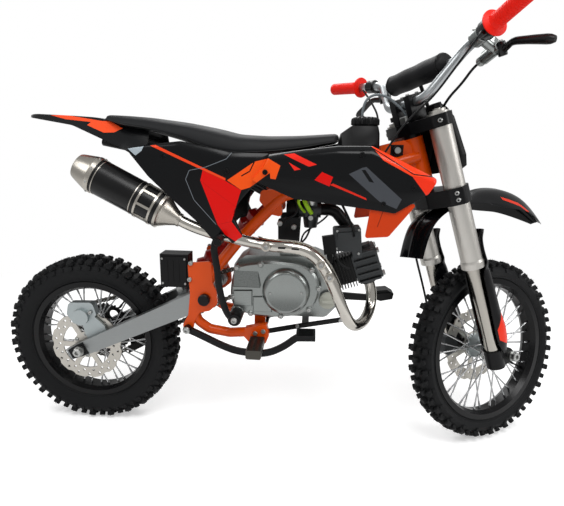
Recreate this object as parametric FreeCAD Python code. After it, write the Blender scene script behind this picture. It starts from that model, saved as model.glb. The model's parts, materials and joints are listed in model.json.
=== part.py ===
import FreeCAD, Part
import os
from math import acos, asin, atan2, cos, degrees, hypot, pi, radians, sin, sqrt, tan

# A small off-road motorcycle with a 14 inch front wheel, a 12 inch rear wheel, an upside-down fork,
# a twin-rail frame and a lying four-stroke engine.
# Drawn in millimetres with X forward, Y to the rider's left and Z up, the rear axle at X = 0 and the
# ground at Z = 0. At the end everything moves so that the origin is where the rider sits.

V = FreeCAD.Vector
Y_AXIS = V(0, 1, 0)
SIDES = (-1, 1)
PARTS = {}

# Driving dimensions

running_gap = 0.3           # between a turning piece and what carries it
seat_gap = 0.3              # between two pieces that rest on each other
wheelbase = 1070.0

steering_rake = 18.4        # degrees the steering axis leans back
steering_turn = 29.7        # degrees the bars are turned to the left, as the machine stands
axis_behind_axle = 64.4     # front axle to steering axis, square to it
leg_behind_axle = 40.3      # front axle to fork leg, square to it
leg_spread = 71.0           # centre plane to fork leg

rear_tyre_radius = 232.0
rear_tyre_half = 41.5
rear_rim_radius = 165.0
rear_rim_half = 30.0
front_tyre_radius = 238.0
front_tyre_half = 31.0
front_rim_radius = 189.0
front_rim_half = 24.0
tread_depth = 11.0
lug_count = 26              # lugs round each row
lug_length = 15.0
bead_gap = 0.3              # tyre to rim
rim_lip = 11.0
well_depth = 9.0

axle_radius = 7.5
hub_barrel_radius = 19.0
rear_flange = 28.0          # centre plane to the spoke flange
front_flange = 22.0
spoke_radius = 1.9
spoke_count = 36
rear_disc_y = 57.5          # centre plane to the middle of the rear disc
rear_disc_radius = 95.0
front_disc_y = 34.5
front_disc_radius = 100.0
disc_thickness = 3.5
disc_gap = 1.5              # disc to brake calliper, each side

chain_pitch = 12.7
rear_teeth = 41
front_teeth = 14
chain_y = 58.0              # centre plane to chain line
chain_half_height = 6.0
chain_half_width = 6.0
link_waist = 3.6            # half height of a link between its pins
front_sprocket_x = 425.0
front_sprocket_z = 408.0

pivot_x = 332.0
pivot_z = 388.0
arm_inner = 68.0            # centre plane to the swingarm's inner face
arm_width = 24.0
plate_inner = 94.0          # centre plane to the frame's pivot plate
plate_thickness = 6.0
rail_radius = 14.0

clamp_low = 418.0           # heights along the fork, from the axle
clamp_low_height = 40.0
clamp_high = 600.0
clamp_high_height = 28.0
outer_tube_bottom = 256.0
outer_tube_radius = 25.0
inner_tube_radius = 17.5
head_radius = 24.0
stem_radius = 12.5

bar_radius = 11.0
grip_radius = 16.0
pipe_radius = 13.5


# Drawing helpers

def side(y):
    """Map a flat (x, z) drawing into the plane at Y = y."""
    return lambda u, v: V(u, y, v)


def across(x):
    """Map a flat (y, z) drawing into the plane at X = x."""
    return lambda u, v: V(x, u, v)


def level(z):
    """Map a flat (x, y) drawing into the plane at Z = z."""
    return lambda u, v: V(u, v, z)


def outline(corners, place):
    """Closed wire through corners (u, v, radius): straight runs joined by tangent arcs."""
    count = len(corners)
    ends = []
    for i, (u, v, r) in enumerate(corners):
        pu, pv = corners[i - 1][:2]
        nu, nv = corners[(i + 1) % count][:2]
        a = hypot(pu - u, pv - v)
        b = hypot(nu - u, nv - v)
        au, av, bu, bv = (pu - u) / a, (pv - v) / a, (nu - u) / b, (nv - v) / b
        half = acos(max(-1.0, min(1.0, au * bu + av * bv))) / 2
        if r <= 0 or half > radians(89):
            ends.append(((u, v), None, (u, v)))
            continue
        cut = min(r / tan(half), 0.49 * a, 0.49 * b)
        r = cut * tan(half)
        mu, mv = au + bu, av + bv
        m = hypot(mu, mv)
        reach = r / sin(half) - r
        ends.append(((u + au * cut, v + av * cut), (u + mu / m * reach, v + mv / m * reach),
                     (u + bu * cut, v + bv * cut)))
    edges = []
    for i, (start, middle, end) in enumerate(ends):
        if middle:
            edges.append(Part.Arc(place(*start), place(*middle), place(*end)).toShape())
        following = ends[(i + 1) % count][0]
        if hypot(end[0] - following[0], end[1] - following[1]) > 1e-6:
            edges.append(Part.makeLine(place(*end), place(*following)))
    return Part.Wire(edges)


def slab(corners, low, high):
    """Side-view drawing of (x, z, radius) corners, solid from Y = low to Y = high."""
    return Part.Face(outline(corners, side(low))).extrude(V(0, high - low, 0))


def both(corners, low, high):
    """The same slab on the right and on the left."""
    return [slab(corners, low, high), slab(corners, -high, -low)]


def rod(start, end, radius, bore=0.0):
    """Round bar or tube between two points."""
    a, b = V(*start), V(*end)
    solid = Part.makeCylinder(radius, (b - a).Length, a, b - a)
    if bore:
        solid = solid.cut(Part.makeCylinder(bore, (b - a).Length, a, b - a))
    return solid


def taper(start, end, r_start, r_end):
    """Round bar that tapers from one radius to another."""
    a, b = V(*start), V(*end)
    return Part.makeCone(r_start, r_end, (b - a).Length, a, b - a)


def box(x, y, z):
    """Block between pairs of limits."""
    return Part.makeBox(x[1] - x[0], y[1] - y[0], z[1] - z[0], V(x[0], y[0], z[0]))


def path(points, radius=None):
    """Open wire of straight runs with tangent arcs at the points between."""
    p = [V(*q) for q in points]
    edges = []
    last = p[0]
    for before, here, after in zip(p, p[1:], p[2:]):
        a, b = before - here, after - here
        half = a.getAngle(b) / 2
        reach = 0.45 * min(a.Length, b.Length)
        cut = min(radius / tan(half), reach) if radius else reach
        r = cut * tan(half)
        a.normalize()
        b.normalize()
        m = a + b
        m.normalize()
        start, end = here + a * cut, here + b * cut
        middle = here + m * (r / sin(half) - r)
        edges += [Part.makeLine(last, start), Part.Arc(start, middle, end).toShape()]
        last = end
    edges.append(Part.makeLine(last, p[-1]))
    return Part.Wire(edges)


def pipe(points, radius, bend=None, bore=0.0):
    """Round tube along a path; bore hollows it."""
    wire = path(points, bend)
    start = V(*points[0])
    direction = V(*points[1]) - start

    def sweep(r):
        ring = Part.Wire(Part.makeCircle(r, start, direction))
        return wire.makePipeShell([ring], True, False)

    solid = sweep(radius)
    return solid.cut(sweep(bore)) if bore else solid


def turned(profile, x=0.0, z=0.0):
    """Closed (radius, y) profile turned about the Y direction through (x, z)."""
    points = [V(x, y, z + r) for r, y in profile]
    face = Part.Face(Part.makePolygon(points + points[:1]))
    return face.revolve(V(x, 0, z), Y_AXIS, 360)


def loft(wires):
    """Solid with straight rulings between closed wires."""
    return Part.makeLoft(wires, True, True)


def along(table, x, column):
    """A column of a table of rows (x, ...), read off between its rows at X = x."""
    rows = sorted(table)
    for a, b in zip(rows, rows[1:]):
        if a[0] <= x <= b[0]:
            return a[column] + (b[column] - a[column]) * (x - a[0]) / (b[0] - a[0])
    return rows[0][column] if x < rows[0][0] else rows[-1][column]


def mirrored(shape):
    """The same piece on the other side of the centre plane."""
    return shape.mirror(V(0, 0, 0), Y_AXIS)


def fuse(shapes):
    """One body from pieces that overlap."""
    shapes = list(shapes)
    return shapes[0].multiFuse(shapes[1:]) if len(shapes) > 1 else shapes[0]


def group(shapes):
    """Separate solids that share a node."""
    return Part.makeCompound(list(shapes))


def keep(name, shape):
    """Store a finished piece under its node name."""
    PARTS[name] = shape


# Fork frame: local x forward and z up along the steering axis, from the front axle

rake = radians(steering_rake)
turn = radians(steering_turn)
AXIS = V(-sin(rake), 0, cos(rake))
FORWARD = V(cos(rake), 0, sin(rake))
lean = sin(rake) * sin(turn)
crown_half = front_tyre_half * 0.55


def front_axle_height():
    """Axle height at which the turned and leaning tyre just touches the ground."""
    level_part = sqrt(1 - lean * lean)
    crown = front_tyre_radius * level_part + crown_half * lean
    shoulder = (front_tyre_radius - tread_depth) * level_part + front_tyre_half * lean
    drop = axis_behind_axle * (1 - cos(turn)) * sin(rake)
    return max(crown, shoulder) + drop


AXLE = V(wheelbase, 0, front_axle_height())
PIVOT = AXLE - FORWARD * axis_behind_axle


def steered(shape):
    """Carry a piece from the fork frame into its place, turned with the bars."""
    placed = shape.copy()
    placed.rotate(V(0, 0, 0), Y_AXIS, -steering_rake)
    placed.translate(AXLE)
    placed.rotate(PIVOT, AXIS, steering_turn)
    return placed


def keep_steered(name, shape):
    keep(name, steered(shape))


def on_fork(x, y, z):
    """A point of the fork frame in the machine's frame, with the bars straight."""
    p = AXLE + FORWARD * x + Y_AXIS * y + AXIS * z
    return (p.x, p.y, p.z)


# Wheels

def faceted(profile, count):
    """Closed (radius, y) profile carried round the Y direction in flat facets."""
    def ring(i):
        angle = 2 * pi * i / count
        return [V(r * sin(angle), y, r * cos(angle)) for r, y in profile]
    faces = []
    for i in range(count):
        here, after = ring(i), ring(i + 1)
        for k in range(len(profile)):
            corners = [here[k], here[k - 1], after[k - 1], after[k]]
            faces.append(Part.Face(Part.makePolygon(corners + corners[:1])))
    solid = Part.makeSolid(Part.makeShell(faces))
    return solid if solid.Volume > 0 else solid.reversed()


def tyre(radius, half, rim_radius, rim_half):
    """Carcass seated on the rim, with a row of lugs on the crown and one on each shoulder."""
    bead = (rim_radius - rim_lip) / cos(pi / lug_count / 2)
    half_profile = [(bead, rim_half - 3.4), (rim_radius + 1, rim_half - 2.6), (radius - 34, half - 3),
                    (radius - tread_depth - 2, half * 0.5)]
    profile = [(r, -y) for r, y in half_profile] + [(r, y) for r, y in reversed(half_profile)]
    shoulder = [(half - 5, radius - 33), (half, radius - tread_depth), (half * 0.58, radius - 1.5),
                (half * 0.5, radius - tread_depth - 4)]
    crown = [(-half * 0.3, radius - tread_depth - 2), (-half * 0.26, radius - 0.4), (half * 0.26, radius - 0.4),
             (half * 0.3, radius - tread_depth - 2)]
    step = 360 / lug_count
    pieces = [faceted(profile, 2 * lug_count)]
    for corners, shift in ((shoulder, 0.25), ([(-y, r) for y, r in shoulder], 0.25), (crown, 0.75)):
        lug = Part.Face(outline([c + (0,) for c in corners], across(-lug_length / 2)))
        lug = lug.extrude(V(lug_length, 0, 0))
        for i in range(lug_count):
            turned_lug = lug.copy()
            turned_lug.rotate(V(0, 0, 0), Y_AXIS, (i + shift) * step)
            pieces.append(turned_lug)
    return fuse(pieces)


def rim(radius, half):
    """Dropped-centre rim with a lip on each side."""
    seat = radius - rim_lip - bead_gap
    well = seat - well_depth
    return [(radius, -half), (radius, -half + 2), (seat, -half + 3), (seat, -half + 9),
            (well + 2, -half + 13), (well + 2, half - 13), (seat, half - 9), (seat, half - 3),
            (radius, half - 2), (radius, half), (seat - 2.5, half), (well - 1, half - 12),
            (well - 1, -half + 12), (seat - 2.5, -half)]


def laced_hub(flange, rim_radius, right_carrier, left_carrier):
    """Hub with its flanges, disc carriers and crossed spokes out to the rim."""
    rim_inner = rim_radius - rim_lip - bead_gap - well_depth - 1 - 0.7
    bore = axle_radius + running_gap
    flange_radius = hub_barrel_radius + 12
    profile = [(bore, -right_carrier), (34, -right_carrier), (34, -right_carrier + 5),
               (hub_barrel_radius + 3, -flange - 6), (flange_radius, -flange - 2),
               (flange_radius, -flange + 2), (hub_barrel_radius, -flange + 6),
               (hub_barrel_radius, flange - 6), (flange_radius, flange - 2), (flange_radius, flange + 2),
               (hub_barrel_radius + 3, flange + 6), (34, left_carrier - 5), (34, left_carrier),
               (bore, left_carrier)]
    pieces = [turned(profile)]
    step = 2 * pi / spoke_count
    for i in range(spoke_count):
        hand = 1 if i % 2 else -1
        lace = radians(38) if (i // 2) % 2 else -radians(38)
        angle = i * step
        foot = (flange_radius - 4.5)
        start = (foot * cos(angle + lace), hand * flange, foot * sin(angle + lace))
        end = (rim_inner * cos(angle), hand * 4.0, rim_inner * sin(angle))
        pieces.append(rod(start, end, spoke_radius))
    return fuse(pieces)


def disc(radius, y, hole_radius):
    """Wave brake disc: a scalloped ring with two rows of holes, on six arms."""
    low, high = y - disc_thickness / 2, y + disc_thickness / 2
    ring = turned([(radius - 30, low), (radius, low), (radius, high), (radius - 30, high)])
    cuts = []
    for row_radius, size, count, shift in ((radius + 14, 18.0, 12, 0), (radius - 10, 3.4, 18, 0.5),
                                           (radius - 21, 3.4, 18, 0)):
        for i in range(count):
            angle = 2 * pi * (i + shift) / count
            x, z = row_radius * cos(angle), row_radius * sin(angle)
            cuts.append(rod((x, low - 1, z), (x, high + 1, z), size))
    ring = ring.cut(cuts)
    centre = turned([(hole_radius, low), (36, low), (36, high), (hole_radius, high)])
    arms = []
    for i in range(6):
        arm = box((30, radius - 25), (low, high), (-7, 7))
        arm.rotate(V(0, 0, 0), Y_AXIS, i * 60)
        arms.append(arm)
    return fuse([ring, centre] + arms)


def sprocket_radius(teeth):
    """Pitch radius of a chain wheel."""
    return chain_pitch / (2 * sin(pi / teeth))


rear_axle_z = rear_tyre_radius
right_carrier_rear = rear_disc_y - disc_thickness / 2
left_carrier_rear = chain_y - 3.0
right_carrier_front = 33.0
left_carrier_front = front_disc_y - disc_thickness / 2


def raise_rear(shape):
    placed = shape.copy()
    placed.translate(V(0, 0, rear_axle_z))
    return placed


keep("tyre_rear", raise_rear(tyre(rear_tyre_radius, rear_tyre_half, rear_rim_radius, rear_rim_half)))
keep("rim_rear", raise_rear(turned(rim(rear_rim_radius, rear_rim_half))))
keep("hub_rear", raise_rear(laced_hub(rear_flange, rear_rim_radius,
                                      right_carrier_rear, left_carrier_rear)))
keep("disc_rear", raise_rear(disc(rear_disc_radius, -rear_disc_y, axle_radius + 6)))

keep_steered("tyre_front", tyre(front_tyre_radius, front_tyre_half, front_rim_radius, front_rim_half))
keep_steered("rim_front", turned(rim(front_rim_radius, front_rim_half)))
keep_steered("hub_front", laced_hub(front_flange, front_rim_radius,
                                    right_carrier_front, left_carrier_front))
keep_steered("disc_front", disc(front_disc_radius, front_disc_y, axle_radius + 6))

# Chain drive on the left

rear_pitch_radius = sprocket_radius(rear_teeth)
front_pitch_radius = sprocket_radius(front_teeth)
tooth_clearance = 0.5
tooth_height = 4.0


def chain_wheel(pitch_radius, teeth, centre_radius, x, z, window_count=0):
    """Toothed plate just inside the chain's rollers."""
    tip = pitch_radius - chain_half_height - tooth_clearance
    low, high = chain_y - 2.8, chain_y + 2.8
    rim_line = []
    for i in range(teeth):
        for shift, r in ((0.0, tip - tooth_height), (0.25, tip - tooth_height), (0.5, tip), (0.75, tip)):
            angle = 2 * pi * (i + shift) / teeth
            rim_line.append((x + r * cos(angle), z + r * sin(angle), 0))
    wheel = slab(rim_line, low, high)
    holes = [rod((x, low - 1, z), (x, high + 1, z), centre_radius)] if centre_radius else []
    for i in range(window_count):
        angle = 2 * pi * i / window_count
        at_x, at_z = x + tip * 0.66 * cos(angle), z + tip * 0.66 * sin(angle)
        holes.append(rod((at_x, low - 1, at_z), (at_x, high + 1, at_z), tip * 0.17))
    return wheel.cut(holes) if holes else wheel


chain_tilt = atan2(front_sprocket_z - rear_axle_z, front_sprocket_x)
chain_wrap = asin((rear_pitch_radius - front_pitch_radius) / hypot(front_sprocket_x,
                                                                   front_sprocket_z - rear_axle_z))


run_length = sqrt(front_sprocket_x ** 2 + (front_sprocket_z - rear_axle_z) ** 2
                  - (rear_pitch_radius - front_pitch_radius) ** 2)
rear_wrap, front_wrap = pi + 2 * chain_wrap, pi - 2 * chain_wrap
loop_length = 2 * run_length + rear_pitch_radius * rear_wrap + front_pitch_radius * front_wrap
link_count = 2 * round(loop_length / chain_pitch / 2)


def on_chain(s, offset):
    """Side-view point at s along the chain's pitch line and offset outside it."""
    upper, lower = chain_tilt + pi / 2 - chain_wrap, chain_tilt - pi / 2 + chain_wrap
    rear_wheel = (0.0, rear_axle_z, rear_pitch_radius)
    front_wheel = (front_sprocket_x, front_sprocket_z, front_pitch_radius)
    arc_rear, arc_front = rear_pitch_radius * rear_wrap, front_pitch_radius * front_wrap
    straight = 0.0
    if s < arc_rear:
        wheel, angle = rear_wheel, upper + s / rear_pitch_radius
    elif s < arc_rear + run_length:
        wheel, angle, straight = rear_wheel, lower, s - arc_rear
    elif s < arc_rear + run_length + arc_front:
        wheel, angle = front_wheel, lower + (s - arc_rear - run_length) / front_pitch_radius
    else:
        wheel, angle, straight = front_wheel, upper, s - arc_rear - run_length - arc_front
    x, z, r = wheel
    return (x + (r + offset) * cos(angle) - straight * sin(angle),
            z + (r + offset) * sin(angle) + straight * cos(angle))


def link_line(side_sign):
    """Wavy edge of the links: full height at each pin and a waist between two pins."""
    step = loop_length / link_count / 2
    return [on_chain(i * step, side_sign * (link_waist if i % 2 else chain_half_height)) + (0,)
            for i in range(2 * link_count)]


chain_low, chain_high = chain_y - chain_half_width, chain_y + chain_half_width
inside_loop = slab(link_line(-1), chain_low - 1, chain_high + 1)
keep("chain", slab(link_line(1), chain_low, chain_high).cut(inside_loop))
keep("sprocket_rear", chain_wheel(rear_pitch_radius, rear_teeth, axle_radius + 6, 0, rear_axle_z, 6))
keep("sprocket_front", fuse([chain_wheel(front_pitch_radius, front_teeth, 0, front_sprocket_x,
                                         front_sprocket_z),
                             rod((front_sprocket_x, 46.5, front_sprocket_z),
                                 (front_sprocket_x, 62, front_sprocket_z), 9)]))

# Swingarm, rear axle and shock

arm_outer = arm_inner + arm_width
arm_length = hypot(pivot_x, pivot_z - rear_axle_z)
arm_tilt = atan2(pivot_z - rear_axle_z, pivot_x)


def along_arm(t, n):
    """Side-view point at t from the rear axle towards the pivot and n above that line."""
    return (t * cos(arm_tilt) - n * sin(arm_tilt), rear_axle_z + t * sin(arm_tilt) + n * cos(arm_tilt))


arm_drawing = [(-36, -15, 6), (-36, 15, 6), (25, 19, 20), (330, 25, 20), (388, 16, 15), (388, -16, 15),
               (330, -25, 20), (25, -19, 20)]
arm_corners = [along_arm(t, n) + (r,) for t, n, r in arm_drawing]
arms = both(arm_corners, arm_inner, arm_outer)
cross_drawing = [(272, -20, 5), (272, 20, 5), (308, 20, 5), (308, -20, 5)]
cross = slab([along_arm(t, n) + (r,) for t, n, r in cross_drawing], -arm_inner, arm_inner)
lug_x, lug_z = along_arm(290, 34)
shock_lugs = [rod((lug_x, y, lug_z), (lug_x, y + 6, lug_z), 12) for y in (-20, 14)]
shock_lugs += [slab([along_arm(t, n) + (0,) for t, n in ((278, 15), (278, 34), (302, 34), (302, 15))],
                    y, y + 6) for y in (-20, 14)]
pivot_tube = rod((pivot_x, -arm_outer, pivot_z), (pivot_x, arm_outer, pivot_z), 14)
swingarm = fuse(arms + [cross, pivot_tube] + shock_lugs)
pivot_bolt_radius = 6.0
swingarm = swingarm.cut(rod((pivot_x, -120, pivot_z), (pivot_x, 120, pivot_z), pivot_bolt_radius + seat_gap))
swingarm = swingarm.cut(rod((0, -120, rear_axle_z), (0, 120, rear_axle_z), axle_radius + seat_gap))
shock_eye_radius = 5.0
swingarm = swingarm.cut(rod((lug_x, -30, lug_z), (lug_x, 30, lug_z), shock_eye_radius + seat_gap))
keep("swingarm", swingarm)

spacer_radius = 12.0
axle_rear = [rod((0, -arm_outer - 14, rear_axle_z), (0, arm_outer + 14, rear_axle_z), axle_radius)]
for hand, carrier in ((-1, right_carrier_rear + disc_thickness), (1, left_carrier_rear + 5.6)):
    axle_rear.append(rod((0, hand * (carrier + running_gap), rear_axle_z),
                         (0, hand * (arm_inner - seat_gap), rear_axle_z), spacer_radius))
    axle_rear.append(rod((0, hand * (arm_outer + seat_gap), rear_axle_z),
                         (0, hand * (arm_outer + 10), rear_axle_z), 13))
keep("axle_rear", fuse(axle_rear))
pivot_bolt = fuse([rod((pivot_x, -plate_inner - 14, pivot_z), (pivot_x, plate_inner + 14, pivot_z),
                             pivot_bolt_radius)]
                        + [rod((pivot_x, s * (plate_inner + plate_thickness + seat_gap), pivot_z),
                               (pivot_x, s * (plate_inner + plate_thickness + 8), pivot_z), 11)
                           for s in SIDES])

# Frame


def on_axis(s):
    """Point on the steering axis at height s along the fork."""
    return on_fork(-axis_behind_axle, 0, s)


rail_head_height = 545.5    # where the upper rails meet the head, along the fork
node_x = 516.0              # the bend over the engine, behind which nothing moves with the wheelbase
drawn_front = 320.7         # node to head as drawn
front_x, _, front_z = on_axis(rail_head_height)
front_stretch = (front_x - node_x) / drawn_front


def fore(x):
    """X of a drawn point ahead of the node, kept in proportion up to the head."""
    return node_x + (x - node_x) * front_stretch if x > node_x else x


rail_points = [(front_x, 16, front_z), (fore(700), 44, 698), (node_x, 60, 641), (412, 76, 532), (345, 86, 446),
               (338, 86, 424)]
cradle_points = [(306, 86, 344), (312, 86, 326), (340, 86, 306), (392, 86, 298), (484, 86, 306)]
node_corners = [(466, 655, 10), (512, 657, 10), (518, 592, 8), (488, 598, 10), (462, 630, 8)]
plate_corners = [(292, 478, 8), (350, 484, 8), (352, 430, 12), (362, 408, 12), (364, 376, 14),
                 (344, 358, 10), (318, 352, 10), (306, 330, 10), (300, 300, 10), (278, 298, 12),
                 (276, 320, 10), (290, 345, 8), (296, 400, 20)]
peg_corners = [(430, 296, 4), (432, 318, 4), (486, 330, 4), (492, 300, 4), (484, 280, 4), (444, 280, 4)]
head_low, head_high = clamp_low + clamp_low_height + 8, clamp_high - 8
frame_pieces = [rod(on_axis(head_low), on_axis(head_high), head_radius)]
for hand in SIDES:
    frame_pieces.append(pipe([(x, hand * y, z) for x, y, z in rail_points], rail_radius, 45))
    frame_pieces.append(pipe([(x, hand * y, z) for x, y, z in cradle_points], rail_radius - 2, 30))
frame_pieces += both(node_corners, 47, 72)
frame_pieces += both(plate_corners, plate_inner, plate_inner + plate_thickness)
frame_pieces += both(peg_corners, 84, 104)
gusset_drawing = [(746, 762, 6), (800, 776, 6), (846, 742, 6), (840, 700, 4), (748, 700, 6)]
gusset_corners = [(fore(x), z, r) for x, z, r in gusset_drawing]
gusset_window = [(fore(x), z, r) for x, z, r in ((766, 716, 4), (770, 748, 4), (818, 716, 6))]
for plate, window in zip(both(gusset_corners, 17, 21), both(gusset_window, 10, 30)):
    frame_pieces.append(plate.cut(window))
frame_pieces.append(rod((500, -60, 632), (500, 60, 632), 12))
frame_pieces.append(rod((462, -86, 303), (462, 86, 303), 11))
engine_bottom = 340.0
frame_pieces += [slab([(448, 300, 2), (448, engine_bottom - seat_gap, 2),
                       (476, engine_bottom - seat_gap, 2), (476, 300, 2)], y, y + 8) for y in (-40, 32)]
shock_top_x, shock_top_z = 480.0, 612.0
frame_pieces += [slab([(470, 600, 5), (470, 626, 5), (505, 640, 5), (505, 622, 4), (490, 600, 5)], y, y + 6)
                 for y in (-20, 14)]
main_frame = fuse(frame_pieces)
main_frame = main_frame.cut(rod(on_axis(head_low - 1), on_axis(head_high + 1), stem_radius + 2.5))
main_frame = main_frame.cut(rod((pivot_x, -120, pivot_z), (pivot_x, 120, pivot_z),
                                pivot_bolt_radius + seat_gap))
main_frame = main_frame.cut(rod((shock_top_x, -30, shock_top_z), (shock_top_x, 30, shock_top_z),
                                shock_eye_radius + seat_gap))

# Shock absorber between the swingarm and the frame

shock_axis = V(shock_top_x - lug_x, 0, shock_top_z - lug_z)
shock_length = shock_axis.Length
shock_axis.normalize()


def on_shock(t):
    p = V(lug_x, 0, lug_z) + shock_axis * t
    return (p.x, p.y, p.z)


spring_start, spring_end, spring_radius, spring_turns = 70.0, shock_length - 32, 27.0, 7
shock = [rod((lug_x, -13.5, lug_z), (lug_x, 13.5, lug_z), 11),
         rod((shock_top_x, -13.5, shock_top_z), (shock_top_x, 13.5, shock_top_z), 11),
         rod(on_shock(0), on_shock(spring_end), 9), rod(on_shock(spring_end), on_shock(shock_length), 13),
         rod(on_shock(spring_start - 6), on_shock(spring_start), 27),
         rod(on_shock(30), on_shock(spring_start), 17)]
pitch = (spring_end - spring_start) / spring_turns
for i in range(spring_turns):
    low = spring_start + i * pitch
    shock += [taper(on_shock(low), on_shock(low + pitch / 2), 19, spring_radius),
              taper(on_shock(low + pitch / 2), on_shock(low + pitch), spring_radius, 19)]
shock = fuse(shock)
for x, z in ((lug_x, lug_z), (shock_top_x, shock_top_z)):
    shock = shock.cut(rod((x, -30, z), (x, 30, z), shock_eye_radius + seat_gap))
keep("shock", shock)
keep("pivot_bolts", group([pivot_bolt] + [fuse([rod((x, -22, z), (x, 22, z), shock_eye_radius),
                                 rod((x, 20 + seat_gap, z), (x, 27, z), 8),
                                 rod((x, -27, z), (x, -20 - seat_gap, z), 8)])
                           for x, z in ((lug_x, lug_z), (shock_top_x, shock_top_z))]))

# Seat, tail and tank: section tables along X

# x, top, side bottom, half width of the top, half width at the bottom
seat_sections = [(85, 822, 812, 40, 58), (140, 820, 794, 62, 88), (201, 816, 785, 72, 98),
                 (287, 806, 762, 78, 104), (351, 795, 735, 80, 108), (411, 781, 728, 80, 108),
                 (478, 778, 734, 72, 100), (551, 780, 745, 58, 82), (646, 787, 766, 42, 62)]
seat_edge = 9.0


def cushion(x, top, low, half_top, half_low):
    edge = min(seat_edge, (top - low) * 0.4)
    corners = [(-half_low, low, 0), (-half_top - 4, top - edge, 0), (-half_top + 14, top, 0),
               (half_top - 14, top, 0), (half_top + 4, top - edge, 0), (half_low, low, 0)]
    return outline(corners, across(x))


def seat_underside(x):
    """Height of the seat's base at X = x."""
    return along(seat_sections, x, 2)


keep("seat", loft([cushion(*row) for row in seat_sections]))

sheet = 3.0                 # wall of the plastic parts
# x, top, side bottom, half width of the top, half width at the bottom
tail_sections = [(-122, 820, 812, 22, 30), (-88, 822, 806, 35, 46), (12, 818, 797, 45, 64),
                 (64, 815, 778, 52, 84), (85, seat_underside(85) - seat_gap, 770, 56, 90),
                 (140, seat_underside(140) - seat_gap, 748, 62, 98),
                 (201, seat_underside(201) - seat_gap, 716, 70, 104)]


def hood(x, top, low, half_top, half_low):
    """Section of an open-bottomed sheet: a flat top and two slanting sides."""
    wall = min(sheet, (top - low) * 0.4)
    corners = [(-half_low, low, 0), (-half_top, top, 0), (half_top, top, 0), (half_low, low, 0),
               (half_low - wall, low, 0), (half_top - wall, top - wall, 0),
               (-half_top + wall, top - wall, 0), (-half_low + wall, low, 0)]
    return outline(corners, across(x))


keep("tail", loft([hood(*row) for row in tail_sections]))


def rail_z(x):
    """Height of the frame's upper rails at X = x."""
    return along(rail_points, x, 2)


tank_lift = rail_radius * 1.09 + seat_gap
# x, top, half width of the top, half width at the bottom
tank_sections = [(520, seat_underside(520) - seat_gap, 46, 66), (551, seat_underside(551) - seat_gap, 52, 84),
                 (646, seat_underside(646) - seat_gap, 44, 92), (fore(652), 790, 36, 90),
                 (fore(674), 806, 36, 84), (fore(736), 806, 30, 40), (fore(741), 790, 22, 34)]


def tank_section(x, top, half_top, half_low):
    low = rail_z(x) + tank_lift
    middle = (top + low) / 2
    corners = [(-half_low + 8, low, 0), (-half_low, middle, 0), (-half_top, top, 0), (half_top, top, 0),
               (half_low, middle, 0), (half_low - 8, low, 0)]
    return outline(corners, across(x))


cap_x, cap_z, cap_radius = fore(708), 806.0, 33.0
keep("fuel_tank", loft([tank_section(*row) for row in tank_sections]))
keep("fuel_cap", fuse([rod((cap_x, 0, cap_z + seat_gap), (cap_x, 0, cap_z + 6), cap_radius - 4),
                       rod((cap_x, 0, cap_z + 6), (cap_x, 0, cap_z + 22), cap_radius)]))

# Subframe under the seat

sub_points = [(476, 60, 648), (392, 66, 694), (262, 66, 728), (130, 60, 752), (84, 54, 760)]
sub_radius = 10.0
sub_pieces = []


def sub_at(x):
    """Side and height of a subframe tube at X = x."""
    return along(sub_points, x, 1), along(sub_points, x, 2)


for hand in SIDES:
    sub_pieces.append(pipe([(x, hand * y, z) for x, y, z in sub_points], sub_radius, 60))
for x in (96, 180, 330):
    y, z = sub_at(x)
    sub_pieces.append(rod((x, -y, z), (x, y, z), 8))
post_radius = 9.0           # of the posts that carry the seat
for x in (330, 440):
    y, z = sub_at(x)
    top = min(seat_underside(x - post_radius), seat_underside(x + post_radius)) - seat_gap
    sub_pieces += [rod((x, hand * y, z), (x, hand * y, top), post_radius) for hand in SIDES]
subframe = fuse(sub_pieces)
keep("main_frame", main_frame)
keep("subframe", subframe.cut(main_frame))

# Side panels and tank shrouds: a side-view outline cut from a sheet that curves in plan


def panel(corners, plan, thickness, low, high):
    """Plastic sheet that follows plan points (x, y) and has a side-view outline."""
    inner = [(x, y - thickness) for x, y in reversed(plan)]
    strip = [V(x, y, low) for x, y in plan] + [V(x, y, low) for x, y in inner]
    solid = Part.Face(Part.makePolygon(strip + strip[:1])).extrude(V(0, 0, high - low))
    return solid.common(slab(corners, 20, 260))


side_corners = [(162, 744, 4), (212, 754, 10), (290, 762, 20), (400, 733, 30), (478, 732, 6),
                (440, 690, 8), (426, 658, 10), (408, 600, 20), (430, 553, 6), (407, 538, 6),
                (384, 558, 10), (366, 542, 6),
                (329, 580, 60), (278, 624, 60), (212, 684, 60)]
side_plan = [(140, 112), (215, 119), (300, 124), (380, 129), (430, 128), (500, 122)]
side_panel = panel(side_corners, side_plan, sheet, 500, 800)
boss_radius, boss_sink = 7.0, 1.2     # of a panel's bosses, and how far they run into its sheet
side_bosses = []
for x in (250, 395):
    y, z = sub_at(x)
    y_sheet = along(side_plan, x, 1) - sheet + boss_sink
    side_bosses.append(rod((x, y + sub_radius + seat_gap, z), (x, y_sheet, z), boss_radius))
left_side = fuse([side_panel] + side_bosses)
keep("side_panels", group([left_side, mirrored(left_side)]))

shroud_drawing = [(468, 676, 8), (480, 716, 20), (560, 738, 30), (640, 756, 20), (710, 758, 10),
                  (847, 693, 6), (831, 664, 6), (765, 621, 8), (716, 627, 20), (547, 643, 20)]
shroud_corners = [(fore(x), z, r) for x, z, r in shroud_drawing]
shroud_plan = [(fore(x), y) for x, y in ((440, 128), (480, 130), (547, 136), (640, 146), (716, 154),
                                         (795, 166), (860, 168))]
shroud = panel(shroud_corners, shroud_plan, sheet, 560, 800)
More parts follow.
